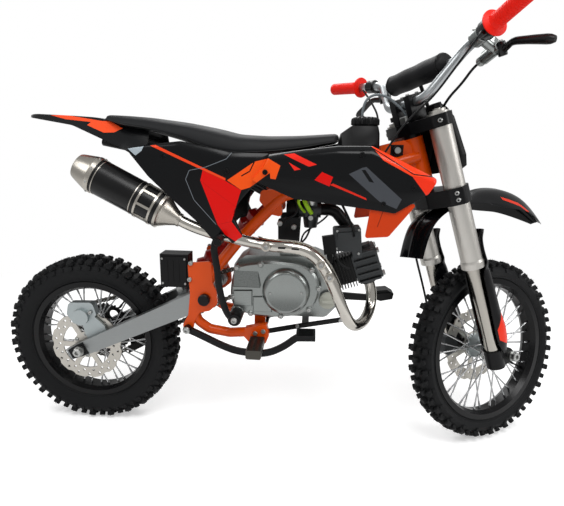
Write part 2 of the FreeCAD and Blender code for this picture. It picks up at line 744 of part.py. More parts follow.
# x, inner end, height of the bosses that stand on the tank
shroud_bosses = [rod((x, y, z), (x, along(shroud_plan, x, 1) - sheet + boss_sink, z), boss_radius)
                 for x, y, z in ((fore(570), 82, 705), (fore(690), 84, 745))]
left_shroud = fuse([shroud] + shroud_bosses)
left_shroud = left_shroud.cut(PARTS["fuel_tank"])
keep("shrouds", group([left_shroud, mirrored(left_shroud)]))

fin_drawing = [(716, 640, 3), (706, 562, 5), (756, 568, 10), (812, 645, 4), (770, 632, 4)]
fin_corners = [(fore(x), z, r) for x, z, r in fin_drawing]
fin_plan = [(x, y - sheet - seat_gap) for x, y in shroud_plan[3:]]
fin = panel(fin_corners, fin_plan, sheet, 540, 800)
keep("shroud_fins", group([fin, mirrored(fin)]))

# Engine

case_half = 62.0
case_corners = [(470, 494, 10), (600, 494, 10), (640, 478, 8), (652, 452, 6), (658, 372, 10),
                (630, engine_bottom, 20), (470, engine_bottom, 4)]
gear_corners = [(390, 372, 20), (400, 474, 20), (430, 494, 12), (475, 494, 2), (475, engine_bottom, 2),
                (430, engine_bottom + 4, 25)]
cylinder_tilt = radians(19.0)
cylinder_x, cylinder_z = 600.0, 428.0


def on_cylinder(t, n=0.0, y=0.0):
    """Point at t along the cylinder's axis and n above it."""
    return (cylinder_x + t * cos(cylinder_tilt) - n * sin(cylinder_tilt), y,
            cylinder_z + t * sin(cylinder_tilt) + n * cos(cylinder_tilt))


def cylinder_block(t0, t1, half_n, half_y, radius):
    """Rounded block square to the cylinder's axis."""
    corners = [(-half_y, -half_n, radius), (half_y, -half_n, radius), (half_y, half_n, radius),
               (-half_y, half_n, radius)]
    wire = outline(corners, lambda u, v: V(*on_cylinder(t0, v, u)))
    end, start = V(*on_cylinder(t1)), V(*on_cylinder(t0))
    return Part.Face(wire).extrude(end - start)


barrel_start, head_start, head_end = 56.0, 104.0, 168.0
case = fuse([slab(case_corners, -case_half, case_half), slab(gear_corners, -case_half, 46),
             slab([(512, 480, 2), (512, 536, 8), (552, 536, 8), (552, 480, 2)], -49.5, 49.5),
             rod((633, -case_half - 9, 388), (633, -case_half, 388), 21)])
case = case.cut(cylinder_block(barrel_start, 150, 46, 46, 4))
keep("crankcase", case)
hanger_corners = [(506, 586, 6), (560, 590, 8), (556, 500, 6), (508, 500, 6)]
keep("engine_hangers", group(both(hanger_corners, 50, 55)))

kick_x, kick_z = 412.0, 356.0
cover_corners = [(392, 380, 20), (402, 468, 20), (430, 480, 12), (500, 490, 20), (590, 480, 30),
                 (617, 430, 40), (600, 370, 30), (530, 345, 30), (430, 350, 30)]
clutch_x, clutch_z = 532.0, 424.0
facets = [slab([(x, z, 4), (x, z + 38, 4), (x + 46, z + 40, 4), (x + 46, z, 4)], -103, -90)
          for x, z in ((404, 424), (404, 376), (452, 362))]
bolt_places = [(402, 396), (412, 470), (470, 480), (592, 470), (610, 426), (588, 372), (520, 352),
               (446, 356)]
cover_seat = case_half + seat_gap
bosses = [rod((x, -101, z), (x, -cover_seat, z), 7) for x, z in bolt_places]
clutch = facets + bosses + [
    slab(cover_corners, -98, -cover_seat), rod((kick_x, -101, kick_z), (kick_x, -cover_seat, kick_z), 17),
    turned([(0.001, -104), (56, -104), (60, -97), (60, -90), (0.001, -90)], clutch_x, clutch_z),
    turned([(0.001, -116), (42, -116), (46, -112), (46, -100), (0.001, -100)], clutch_x, clutch_z - 8)]
keep("clutch_cover", fuse(clutch))
generator_x, generator_z = 552.0, 416.0
generator = [turned([(0.001, 98), (52, 98), (64, 88), (66, cover_seat), (0.001, cover_seat)],
                    generator_x, generator_z)]
release_x, release_y, release_z = 560.0, 68.0, 495.0     # where the clutch cable ends
generator.append(rod((release_x, release_y, 460), (release_x, release_y, release_z), 5))
generator.append(slab([(470, 360, 12), (470, 470, 16), (600, 484, 16), (640, 440, 20), (620, 352, 20)],
                      cover_seat, 74))
sprocket_cover = [slab([(388, 376, 24), (388, 442, 24), (466, 452, 10), (466, 360, 16)], 67, 71)]
sprocket_cover += [rod((x, 46.5, z), (x, 68, z), 5) for x, z in ((458, 442), (459, 366))]
keep("left_covers", group([fuse(generator), fuse(sprocket_cover)]))
barrel = [cylinder_block(barrel_start + seat_gap, head_start - seat_gap, 36, 36, 12)]
for i in range(6):
    t = barrel_start + 5 + i * 7.4
    barrel.append(cylinder_block(t, t + 2.6, 46 - 0.5, 45.5, 12))
keep("cylinder_barrel", fuse(barrel))
head = [cylinder_block(head_start, head_end, 40, 44, 10),
        slab([(644, 510, 3), (640, 566, 6), (706, 572, 6), (714, 496, 3), (692, 494, 3), (688, 510, 3)],
             -58, -20),
        slab([(652, 540, 3), (652, 556, 3), (700, 560, 3), (700, 544, 3)], -62, -50)]
head_n = 40.0
for i in range(5):
    n = -head_n + 4 + i * (head_n - 4) / 2
    head.append(cylinder_block(head_start + 4, head_end - 6, 3, 52, 2).translated(
        V(*on_cylinder(0, n)) - V(*on_cylinder(0, 0))))
port_t, port_y, intake_t, stub = 130.0, -14.0, 122.0, 9.0
head += [rod(on_cylinder(head_end - 26, head_n - 4), on_cylinder(head_end - 26, head_n + 7), 17),
         rod(on_cylinder(port_t, 4 - head_n, port_y), on_cylinder(port_t, -head_n - stub, port_y), 18),
         rod(on_cylinder(intake_t, head_n - 4), on_cylinder(intake_t, head_n + stub), 18)]
keep("cylinder_head", fuse(head))
carb_x, carb_z = 588.0, 604.0
carb_front = carb_x + 22
intake = pipe([on_cylinder(intake_t, head_n + stub + seat_gap), on_cylinder(intake_t, head_n + stub + 44),
               (carb_front + 34, 0, carb_z), (carb_front + seat_gap, 0, carb_z)], 15, 32)
keep("intake_manifold", intake)
carb = [rod((carb_x - 32, 0, carb_z), (carb_front, 0, carb_z), 21),
        box((carb_x - 18, carb_x + 12), (-19, 19), (carb_z - 18, carb_z + 36)),
        taper((carb_x - 3, 0, carb_z - 46), (carb_x - 3, 0, carb_z - 14), 16, 21)]
keep("carburettor", fuse(carb))
keep("air_filter", taper((carb_x - 32 - seat_gap, 0, carb_z), (524, 0, carb_z), 31, 25))

# Exhaust

can_start, can_end = V(282, -108, 582), V(40, -108, 706)
can_axis = (can_end - can_start)
can_axis.normalize()


def on_can(t):
    """Point along the silencer's axis."""
    p = can_start + can_axis * t
    return (p.x, p.y, p.z)


header_points = [on_cylinder(port_t, -head_n - stub - seat_gap, port_y),
                 on_cylinder(port_t, -head_n - 40, port_y), (722, -40, 352), (694, -110, 342),
                 (666, -146, 392), (630, -150, 478), (603, -150, 519), (566, -150, 542), (500, -144, 545),
                 (444, -110, 544), on_can(-45), on_can(0)]
keep("exhaust_header", pipe(header_points, pipe_radius))

can_radius = 44.0
silencer = fuse([taper(on_can(seat_gap), on_can(46), 16, can_radius - 6),
                 taper(on_can(40), on_can(54), can_radius - 4, can_radius - 1),
                 rod(on_can(50), on_can(226), can_radius - 2),
                 rod(on_can(56), on_can(64), can_radius), rod(on_can(96), on_can(104), can_radius),
                 rod(on_can(216), on_can(228), can_radius),
                 taper(on_can(226), on_can(268), can_radius - 1, 24)]).cut(rod(on_can(240), on_can(270), 16))
keep("silencer", silencer)

# Controls and small fixtures on the frame

kick_corners = [(400, 340, 8), (394, 360, 8), (364, 470, 10), (366, 530, 8), (380, 556, 8), (392, 552, 8),
                (384, 524, 8), (384, 474, 10), (424, 362, 8), (424, 340, 8)]
keep("kick_starter", fuse([slab(kick_corners, -138, -129),
                           rod((kick_x, -142, kick_z), (kick_x, -101 - seat_gap, kick_z), 15),
                           rod((380, -172, 543), (380, -130, 543), 8)]))
pegs = []
for hand in SIDES:
    y0, y1 = sorted((hand * 104.3, hand * 186))
    pegs.append(slab([(446, 276, 5), (446, 298, 5), (482, 298, 5), (482, 276, 5)], y0, y1))
keep("footpegs", group(pegs))
pedal_corners = [(276, 311, 10), (289, 324, 10), (392, 270, 14), (488, 262, 14), (572, 336, 8),
                 (606, 342, 5), (606, 326, 5), (578, 318, 8), (496, 246, 12), (386, 254, 14), (289, 298, 10)]
pedal_pad = [(576, 341, 4), (606, 344, 4), (606, 324, 4), (576, 321, 4)]
keep("brake_pedal", fuse([slab(pedal_corners, -112, -104), slab(pedal_pad, -150, -111),
                          rod((289, -115, 311), (289, -100.3, 311), 9)]))
shift_corners = [(580, 334, 10), (580, 358, 10), (745, 350, 8), (822, 358, 5), (822, 340, 5), (745, 332, 8)]
keep("gear_lever", fuse([slab(shift_corners, 104, 112),
                         slab([(770, 355, 4), (820, 358, 4), (820, 340, 4), (770, 336, 4)], 111, 150),
                         rod((590, 74.3, 346), (590, 114, 346), 9)]))
skid_corners = [(436, 276, 4), (436, 290, 4), (560, 318, 20), (690, 344, 4), (690, 330, 4), (560, 303, 20)]
skid = both(skid_corners, 56, 61)
skid.append(slab([(436, 276, 0), (436, 279, 0), (560, 306, 0), (690, 333, 0), (690, 330, 0), (560, 303, 0)],
                 -56, 56))
keep("skid_plate", fuse(skid).cut(main_frame))
keep("battery_box", box((222, 291.7), (-plate_inner, -50), (414, 497)))
run_tilt = chain_tilt - pi / 2 + chain_wrap
run_x, run_z = rear_pitch_radius * cos(run_tilt), rear_axle_z + rear_pitch_radius * sin(run_tilt)


def lower_run(x, below=0.0):
    """Point under the chain's lower run, so far below its pitch line."""
    return (x, run_z + (x - run_x) * tan(run_tilt + pi / 2) - below)


guide_low, guide_high = chain_low - 3.5, arm_inner - seat_gap
guide = [slab([lower_run(66, 15) + (2,), (66, 244, 4), (112, 266, 4), lower_run(112, 15) + (2,)],
              guide_high - 2.5, guide_high),
         slab([lower_run(66, 15) + (2,), lower_run(66, -8) + (4,), lower_run(112, -8) + (4,),
               lower_run(112, 15) + (2,)], guide_low, guide_low + 2.5),
         slab([lower_run(66, 15) + (2,), lower_run(66, 9) + (2,), lower_run(112, 9) + (2,),
               lower_run(112, 15) + (2,)], guide_low, guide_high)]
keep("chain_guide", fuse(guide))

calliper_angle = 92.0       # degrees from the +X side up round the rear wheel


def calliper(radius, y, half, barrel_height, reach, width):
    """Brake calliper astride the disc on the +X side; its piston barrel stands out on the height's side."""
    body = slab([(radius - 32, -width * 0.6, 8), (radius - 6, -width, 10), (radius + reach, -width * 0.8, 12),
                 (radius + reach, width * 0.8, 12), (radius - 6, width, 10), (radius - 32, width * 0.6, 8)],
                y - half, y + half)
    barrel = rod((radius - 12, y, 0), (radius - 12, y + barrel_height, 0), 21)
    body = fuse([body, barrel])
    slot = turned([(0.001, y - disc_thickness / 2 - disc_gap), (radius + 2, y - disc_thickness / 2 - disc_gap),
                   (radius + 2, y + disc_thickness / 2 + disc_gap),
                   (0.001, y + disc_thickness / 2 + disc_gap)])
    return body.cut(slot)


rear_calliper = calliper(rear_disc_radius, -rear_disc_y, 10.2, -20, 26, 40)
rear_calliper.rotate(V(0, 0, 0), Y_AXIS, -calliper_angle)
bracket_low, bracket_high = -arm_inner + seat_gap, -rear_disc_y - disc_thickness / 2 - disc_gap - 0.5
calliper_bracket = slab([(14, 244, 6), (62, 264, 6), (58, 290, 10), (34, 314, 8), (-6, 314, 6), (2, 272, 20)],
                        bracket_low, bracket_high)
keep("calliper_rear", fuse([raise_rear(rear_calliper), calliper_bracket]))

# Fork and what turns with it

legs = [(-leg_behind_axle, hand * leg_spread) for hand in SIDES]
tube_top = clamp_high + clamp_high_height + 4
bore_top = outer_tube_bottom + 60
outers, inners, lugs, guards = [], [], [], []
for x, y in legs:
    outer = fuse([rod((x, y, outer_tube_bottom), (x, y, tube_top), outer_tube_radius),
                  taper((x, y, outer_tube_bottom + 14), (x, y, outer_tube_bottom + 20), 27, outer_tube_radius),
                  rod((x, y, outer_tube_bottom), (x, y, outer_tube_bottom + 14), 27),
                  rod((x, y, tube_top), (x, y, tube_top + 6), 19),
                  rod((x, y, tube_top), (x, y, tube_top + 12), 9)])
    outers.append(outer.cut(rod((x, y, outer_tube_bottom - 1), (x, y, bore_top), inner_tube_radius + seat_gap)))
    inners.append(rod((x, y, 34), (x, y, bore_top - 2), inner_tube_radius))
    lug_corners = [(x, -14, 4), (x, 30, 4), (6, 20, 14), (18, -2, 14), (6, -18, 12)]
    lug = fuse([rod((x, y, -14), (x, y, 34 - seat_gap), 22), slab(lug_corners, y - 13, y + 13)])
    lugs.append(lug.cut(rod((0, y - 30, 0), (0, y + 30, 0), axle_radius + seat_gap)))
    shield = fuse([rod((x, y, 24), (x, y, 290), 31, 28.5),
                   taper((x, y, 290), (x, y, 338), 31, 41).cut(taper((x, y, 290), (x, y, 338), 28.5, 38.5))])
    guards.append(shield.common(box((x + 3, x + 50), (y - 44, y + 44), (0, 340))))
keep_steered("fork_outer_tubes", group(outers))
keep_steered("fork_inner_tubes", group(inners))
keep_steered("axle_lugs", group(lugs))
guards = [g.cut(l) for g, l in zip(guards, lugs)]
keep_steered("fork_guards", group(guards))


def clamp(low, high, front, back):
    """Fork clamp: a plate that closes round both legs and the stem."""
    x_leg, x_stem = -leg_behind_axle, -axis_behind_axle
    corners = [(x_leg + front, leg_spread + 20, 18), (x_leg + front - 8, 0, 40),
               (x_leg + front, -leg_spread - 20, 18), (x_leg - 10, -leg_spread - 34, 18),
               (x_leg - front, -leg_spread - 12, 18), (x_stem - back, -22, 16), (x_stem - back, 22, 16),
               (x_leg - front, leg_spread + 12, 18), (x_leg - 10, leg_spread + 34, 18)]
    plate = Part.Face(outline(corners, level(low))).extrude(V(0, 0, high - low))
    for x, y in legs:
        plate = plate.cut(rod((x, y, low - 1), (x, y, high + 1), outer_tube_radius + seat_gap))
    return plate


x_stem = -axis_behind_axle
upper = clamp(clamp_high, clamp_high + clamp_high_height, 29, 22)
upper = upper.cut(rod((x_stem, 0, clamp_high - 1), (x_stem, 0, 700), stem_radius + seat_gap))
lower = clamp(clamp_low, clamp_low + clamp_low_height, 29, 22)
stem = rod((x_stem, 0, clamp_low), (x_stem, 0, tube_top + 2), stem_radius)
cup = rod((x_stem, 0, clamp_low), (x_stem, 0, head_low - running_gap), 20)
keep_steered("upper_clamp", fuse([upper, rod((x_stem, 0, head_high + running_gap), (x_stem, 0, clamp_high + 1),
                                             20, stem_radius + seat_gap)]))
keep_steered("lower_clamp", fuse([lower, stem, cup]))

bar_low_x, bar_low_z = -58.0, clamp_high + clamp_high_height + 42
bar_half = [(bar_low_x, 0, bar_low_z), (bar_low_x, 64, bar_low_z), (5, 142, 740), (-13, 338, 788)]
bar_route = [(x, -y, z) for x, y, z in reversed(bar_half[1:])] + bar_half[1:]
cross_z, cross_x, cross_half = 727.0, -6.0, 126.0
cross_radius = 5.5
crossbar = rod((cross_x, -cross_half, cross_z), (cross_x, cross_half, cross_z), cross_radius)
keep_steered("handlebar", fuse([pipe(bar_route, bar_radius, 55), crossbar]))
bar_clamps = []
for hand in SIDES:
    y0, y1 = sorted((hand * 17, hand * 35))
    block = box((bar_low_x - 20, bar_low_x + 20), (y0, y1),
                (clamp_high + clamp_high_height + seat_gap, bar_low_z + 18))
    seat_of_bar = rod((bar_low_x, -60, bar_low_z), (bar_low_x, 60, bar_low_z), bar_radius + seat_gap)
    bar_clamps.append(block.cut(seat_of_bar))
keep_steered("bar_clamps", group(bar_clamps))
pad_radius, pad_half = 22.0, 91.0
keep_steered("bar_pad", rod((cross_x, -pad_half, cross_z), (cross_x, pad_half, cross_z), pad_radius,
                            cross_radius + seat_gap))

bar_tip = V(*bar_half[-1])
grip_dir = bar_tip - V(*bar_half[-2])
grip_dir.normalize()


def on_bar(hand, back, x=0.0, z=0.0):
    """Point so far back from the tip of the bar, moved forward by x and up by z."""
    p = bar_tip - grip_dir * back
    return (p.x + x, hand * p.y, p.z + z)


grip_length, flange_radius = 118.0, 27.0
grips = []
for hand in SIDES:
    grip = fuse([rod(on_bar(hand, -3), on_bar(hand, grip_length), grip_radius),
                 rod(on_bar(hand, grip_length - 4), on_bar(hand, grip_length), flange_radius)])
    grips.append(grip.cut(rod(on_bar(hand, 0), on_bar(hand, grip_length + 12), bar_radius + seat_gap)))
keep_steered("grips", group(grips))

perch_forward = 34.0        # bar to the lever's perch, forward and down
perch_back = 150.0          # tip of the bar to the perch's clamp
cylinder_end = 206.0        # tip of the bar to the inner end of the brake's master cylinder


def lever(hand):
    """Perch clamped on the bar with its lever in front of the grip."""
    def at(back, x, z):
        return on_bar(hand, back, x, z)
    drop = perch_forward
    perch = [rod(at(perch_back, 0, 0), at(perch_back + 22, 0, 0), 17),
             rod(at(perch_back + 11, 8, -8), at(perch_back + 11, drop, -drop), 9),
             rod(at(perch_back - 8, drop, -drop), at(perch_back + 24, drop, -drop), 10),
             rod(at(perch_back - 6, 38, -54), at(perch_back - 6, 38, -26), 11)]
    if hand < 0:
        perch += [rod(at(perch_back - 6, drop, -drop), at(cylinder_end, drop, -drop), 12),
                  rod(at(perch_back + 6, drop + 7, -drop + 8), at(cylinder_end - 10, drop + 7, -drop + 8), 14),
                  rod(at(grip_length + seat_gap, 0, 0), at(142, 0, 0), 20)]
    blade = pipe([at(perch_back - 4, 38, -40), at(perch_back - 34, 33, -37), at(90, 35, -46), at(26, 36, -72)],
                 6, 40)
    body = fuse(perch + [blade])
    return body.cut(rod(at(grip_length, 0, 0), at(230, 0, 0), bar_radius + seat_gap))


keep_steered("levers", group([lever(-1), lever(1)]))

# x, z of the crown line, half width, drop of the sides
fender_sections = [(-159, 321, 42, 4), (-104, 384, 44, 8), (-70, 404, 44, 8), (-20, 412, 43, 6),
                   (30, 414, 62, 16), (100, 416, 66, 50), (180, 388, 62, 55), (248, 332, 48, 34),
                   (296, 256, 16, 8)]


def fender_wire(x, z, half, drop, slope):
    """Open-bottomed section square to the crown line, which climbs at the slope's angle."""
    def place(u, v):
        return V(x - v * sin(slope), u, z + v * cos(slope))

    bend = half * 0.7
    corners = [(-half, -drop, 0), (-bend, 0, 0), (bend, 0, 0), (half, -drop, 0),
               (half - sheet, -drop - 0.5, 0), (bend - sheet, -sheet, 0), (sheet - bend, -sheet, 0),
               (sheet - half, -drop - 0.5, 0)]
    return outline(corners, place)


fender_wires = []
for i, row in enumerate(fender_sections):
    x0, z0 = fender_sections[max(i - 1, 0)][:2]
    x1, z1 = fender_sections[min(i + 1, len(fender_sections) - 1)][:2]
    fender_wires.append(fender_wire(*row, atan2(z1 - z0, x1 - x0)))
fender_posts = [rod((x, y, 408), (x, y, clamp_low - seat_gap), 7) for x in (-34, -12) for y in (-22, 22)]
keep_steered("fender_front", fuse([loft(fender_wires)] + fender_posts))

plate_face = [(16, 0), (14, 45), (-5, 78), (-8, 78), (11, 45), (13, 0)]
plate_poly = [V(x, y, 490) for x, y in plate_face] + [V(x, -y, 490) for x, y in reversed(plate_face)]
bent_sheet = Part.Face(Part.makePolygon(plate_poly + plate_poly[:1])).extrude(V(0, 0, 205))
plate_cut = [(-90, 480, 0), (-90, 520, 0), (-74, 632, 8), (-50, 668, 14), (50, 668, 14), (74, 632, 8),
             (90, 520, 0), (90, 480, 0), (50, 486, 20), (-50, 486, 20)]
plate_shape = Part.Face(outline(plate_cut, across(-30))).extrude(V(60, 0, 0))
hook_foot, pad_centre = V(9, 0, 648), V(cross_x, 0, cross_z)
hang = hook_foot - pad_centre
hang.normalize()
hook = rod(tuple(hook_foot), tuple(pad_centre + hang * (pad_radius + seat_gap)), 5)
keep_steered("number_plate", fuse([bent_sheet.common(plate_shape), hook]))

front_calliper = calliper(front_disc_radius, front_disc_y, 9.6, 13, 12, 28)
front_calliper.rotate(V(0, 0, 0), Y_AXIS, -155)
ear_low = front_disc_y + 9.6 - 1
ear = slab([(-98, 22, 4), (-60, 60, 4), (-46, 18, 4), (-34, 18, 6), (-34, -8, 6), (-60, -8, 6)],
           ear_low, leg_spread - 22 - seat_gap)
keep_steered("calliper_front", fuse([front_calliper, ear]))
axle_front = [rod((0, -leg_spread - 24, 0), (0, leg_spread + 24, 0), axle_radius)]
lug_half = 13.0 + seat_gap
for hand, carrier in ((-1, right_carrier_front), (1, left_carrier_front + disc_thickness)):
    axle_front += [rod((0, hand * (carrier + running_gap), 0), (0, hand * (leg_spread - lug_half), 0), 11),
                   rod((0, hand * (leg_spread + lug_half), 0), (0, hand * (leg_spread + 22), 0), 13)]
keep_steered("axle_front", fuse(axle_front))

# Hoses and cables

hose_radius = 3.0
cable_radius = 2.5


def least_bend(points):
    """Radius of the tightest bend of a cord's path."""
    p = [V(*q) for q in points]
    legs_of = [(a - b, c - b) for a, b, c in zip(p, p[1:], p[2:])]
    return min(0.45 * min(u.Length, v.Length) * tan(u.getAngle(v) / 2) for u, v in legs_of)


def perch_end(back):
    """Point of the master cylinder's axis, measured back from the tip of the bar."""
    return on_bar(-1, back, perch_forward, -perch_forward)


brake_route = [perch_end(cylinder_end + seat_gap), perch_end(cylinder_end + 20), (16, -104, 676),
               (-10, -84, 656), (0, -44, 634), (3, 0, 580), (0, 34, 520), (-4, 72, 462),
               (-12, 102, 410), (-44, 112, 352), (-54, 112, 280), (-56, 110, 200), (-62, 106, 130),
               (-78, 98, 80), (-80, 84, 44), (-78, leg_spread - 2, 30), (-78, leg_spread - 22, 30)]
keep_steered("brake_hose", pipe(brake_route, hose_radius))


def bar_point(x, y, z):
    """Point of the fork frame after the bars are turned."""
    return tuple(steered(Part.Vertex(x, y, z)).Point)


throttle_route = [bar_point(-18, -198, 748), bar_point(-36, -146, 710), bar_point(-62, -96, 668),
                  bar_point(-92, -62, 646), bar_point(-118, -30, 622), (752, -58, 748), (722, -72, 704),
                  (680, -72, 684), (636, -70, 660), (carb_x + 2, -54, carb_z + 26),
                  (carb_x + 2, -19 - seat_gap, carb_z + 26)]
clutch_route = [bar_point(-18, 198, 748), bar_point(-40, 146, 706), bar_point(-66, 100, 660), (742, 86, 790),
                (712, 88, 736), (684, 84, 690), (662, 80, 630), (630, 76, 574), (590, 70, 546),
                (release_x, release_y, 524), (release_x, release_y, release_z + seat_gap)]
stem_top = on_axis(tube_top + 2 + seat_gap)
vent_route = [(cap_x - 8, 0, cap_z + 22 + seat_gap), (cap_x - 8, 0, 858), (cap_x + 12, -3, 880),
              (cap_x + 44, -3, 878), (cap_x + 74, 0, 856), on_axis(tube_top + 18), stem_top]
keep("cables", group([pipe(throttle_route, cable_radius), pipe(clutch_route, cable_radius),
                      pipe(vent_route, cable_radius + 0.5)]))

# Mount and export

rider_x = 455.0
rider_z = along(seat_sections, rider_x, 1)
origin = V(rider_x, 0, rider_z)
os.makedirs("parts", exist_ok=True)
for name, shape in PARTS.items():
    moved = shape.copy()
    moved.translate(origin * -1)
    moved.exportStep("parts/" + name + ".step")
    solids = moved.Solids
    print(name, len(solids), moved.isValid(), round(moved.Volume / 1000, 1), "cm3")
print("pieces", len(PARTS))
print("origin", rider_x, rider_z)
print("steering point", PIVOT - origin, "axis", AXIS)
axle_point, axle_side = V(*bar_point(0, 0, 0)), V(*bar_point(0, 1, 0))
print("front axle", axle_point - origin, "direction", axle_side - axle_point)
print("rear axle", V(0, 0, rear_axle_z) - origin)
for name, route in (("brake hose", brake_route), ("throttle cable", throttle_route),
                    ("clutch cable", clutch_route), ("vent hose", vent_route)):
    print("least bend of the", name, round(least_bend(route), 1))
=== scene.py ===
import json

import bmesh
import bpy
import numpy as np
from mathutils import Matrix, Vector


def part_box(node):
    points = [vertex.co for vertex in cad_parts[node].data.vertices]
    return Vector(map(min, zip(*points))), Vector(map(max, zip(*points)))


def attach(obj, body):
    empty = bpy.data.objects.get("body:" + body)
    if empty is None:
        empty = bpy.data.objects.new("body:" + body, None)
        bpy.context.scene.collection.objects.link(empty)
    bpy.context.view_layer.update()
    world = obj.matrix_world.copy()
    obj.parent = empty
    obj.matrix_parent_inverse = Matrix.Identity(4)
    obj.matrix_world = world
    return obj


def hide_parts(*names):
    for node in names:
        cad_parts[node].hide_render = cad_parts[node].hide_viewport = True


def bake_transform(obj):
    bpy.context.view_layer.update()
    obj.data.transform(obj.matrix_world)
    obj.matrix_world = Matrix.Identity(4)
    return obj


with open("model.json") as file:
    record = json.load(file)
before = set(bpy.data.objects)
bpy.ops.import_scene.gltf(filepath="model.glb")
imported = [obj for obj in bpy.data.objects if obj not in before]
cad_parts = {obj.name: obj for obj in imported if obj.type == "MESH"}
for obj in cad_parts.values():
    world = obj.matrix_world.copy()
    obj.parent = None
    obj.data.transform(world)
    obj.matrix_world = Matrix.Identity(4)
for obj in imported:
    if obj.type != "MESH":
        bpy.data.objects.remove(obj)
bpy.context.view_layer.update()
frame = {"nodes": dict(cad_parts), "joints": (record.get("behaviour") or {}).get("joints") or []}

nodes = frame["nodes"]

# Studio: a pale seamless floor under the wheels, soft boxes overhead and beside the machine, and the
# camera at the photograph's place. Lengths are in metres, and the floor lies where the rear tyre stands.

floor_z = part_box("tyre_rear")[0][2]
camera_place = Vector((0.1362, -1.1348, -0.0270))
camera_yaw, camera_pitch, camera_roll = np.radians((3.91, -13.09, 1.06))
camera_lens_mm = 28.743
film_width_mm = 36.0


def add(tree, kind, values):
    """Add a shader node: lower-case keys are properties, others inputs, and a socket as value is linked."""
    made = tree.nodes.new("ShaderNode" + kind)
    for key, value in values.items():
        if isinstance(key, str) and key.islower():
            setattr(made, key, value)
        elif isinstance(value, bpy.types.NodeSocket):
            tree.links.new(value, made.inputs[key])
        else:
            made.inputs[key].default_value = value
    return made


def maths(tree, operation, *values):
    """Result of a maths node on one or two values."""
    return add(tree, "Math", {"operation": operation, **dict(enumerate(values))}).outputs[0]


def linear(hex_colour):
    """Linear RGBA of an sRGB hex colour."""
    srgb = np.array([int(hex_colour[i:i + 2], 16) for i in (1, 3, 5)]) / 255
    rgb = np.where(srgb <= 0.04045, srgb / 12.92, ((srgb + 0.055) / 1.055) ** 2.4)
    return (*rgb.tolist(), 1.0)


def blank(name):
    """New material with an empty tree and its output node."""
    material = bpy.data.materials.new(name)
    material.use_nodes = True
    tree = material.node_tree
    tree.nodes.clear()
    return material, tree, tree.nodes.new("ShaderNodeOutputMaterial")


def studio_floor():
    """Painted white board: a soft shadow on a ground that reaches full white."""
    material, tree, output = blank("white studio floor")
    lit = add(tree, "BsdfDiffuse", {"Color": linear("#f4f4f4")})
    white = add(tree, "Emission", {"Color": (1, 1, 1, 1), "Strength": 1.0})
    bright = add(tree, "Emission", {"Color": (1, 1, 1, 1), "Strength": 0.36})
    both = add(tree, "AddShader", {0: lit.outputs[0], 1: bright.outputs[0]})
    coords = add(tree, "TexCoord", {})
    reach = add(tree, "VectorMath", {"operation": "LENGTH", 0: coords.outputs["Object"]})
    fade = add(tree, "MapRange", {"Value": reach.outputs["Value"], "From Min": 1.1, "From Max": 2.2})
    seen = add(tree, "LightPath", {})
    straight = maths(tree, "MULTIPLY", seen.outputs["Is Camera Ray"], fade.outputs[0])
    camera_view = add(tree, "MixShader", {0: straight, 1: both.outputs[0], 2: white.outputs[0]})
    others = add(tree, "MixShader", {0: seen.outputs["Is Camera Ray"], 1: lit.outputs[0],
                                     2: camera_view.outputs[0]})
    tree.links.new(others.outputs[0], output.inputs["Surface"])
    return material


floor_mesh = bpy.data.meshes.new("floor")
floor_half = 12.0
floor_mesh.from_pydata([(x * floor_half, y * floor_half, floor_z)
                        for x, y in ((-1, -1), (1, -1), (1, 1), (-1, 1))], [], [(0, 1, 2, 3)])
floor_mesh.materials.append(studio_floor())
floor_object = bpy.data.objects.new("floor", floor_mesh)
bpy.context.collection.objects.link(floor_object)

world = bpy.data.worlds.new("studio")
bpy.context.scene.world = world
world.use_nodes = True
world.node_tree.nodes.clear()
ray = add(world.node_tree, "LightPath", {})
mirror_or_camera = maths(world.node_tree, "MAXIMUM", ray.outputs["Is Camera Ray"],
                         ray.outputs["Is Transmission Ray"])
dim = add(world.node_tree, "Background", {"Color": (1, 1, 1, 1), "Strength": 0.45})
full = add(world.node_tree, "Background", {"Color": (1, 1, 1, 1), "Strength": 1.0})
sky = add(world.node_tree, "MixShader", {0: mirror_or_camera, 1: dim.outputs[0], 2: full.outputs[0]})
add(world.node_tree, "OutputWorld", {"Surface": sky.outputs[0]})

# where it hangs, what it points at, width, height, watts
soft_boxes = [((0.6, -1.4, 2.3), (0.1, 0, -0.3), 1.8, 1.2, 42),
              ((-1.6, -1.2, 1.2), (-0.2, 0, -0.3), 1.0, 1.2, 14),
              ((0.0, 1.8, 1.7), (0.1, 0, -0.2), 2.0, 1.2, 30),
              ((2.2, -0.6, 0.9), (0.5, 0, -0.2), 0.8, 1.4, 14)]
for number, (place, aim, width, height, watts) in enumerate(soft_boxes):
    lamp = bpy.data.lights.new("soft box " + str(number), "AREA")
    lamp.shape = "RECTANGLE"
    lamp.size, lamp.size_y, lamp.energy = width, height, watts
    holder = bpy.data.objects.new(lamp.name, lamp)
    holder.location = place
    holder.rotation_euler = (Vector(aim) - Vector(place)).to_track_quat("-Z", "Y").to_euler()
    bpy.context.collection.objects.link(holder)

camera = bpy.data.cameras.new("camera")
camera.sensor_width, camera.lens, camera.clip_start = film_width_mm, camera_lens_mm, 0.02
camera_object = bpy.data.objects.new("camera", camera)
level_turn = Matrix.Rotation(camera_yaw, 4, "Z") @ Matrix.Rotation(np.pi / 2 + camera_pitch, 4, "X")
roll_turn = Matrix.Rotation(camera_roll, 4, "Z")
camera_object.matrix_world = Matrix.Translation(camera_place) @ level_turn @ roll_turn
bpy.context.collection.objects.link(camera_object)
bpy.context.scene.camera = camera_object
bpy.context.scene.view_settings.view_transform = "Standard"

# Steel main frame: two bent tubes to the head, pivot plates, lower cradle and head gussets, welded up
# and powder coated orange; a black bolted subframe carries the seat.

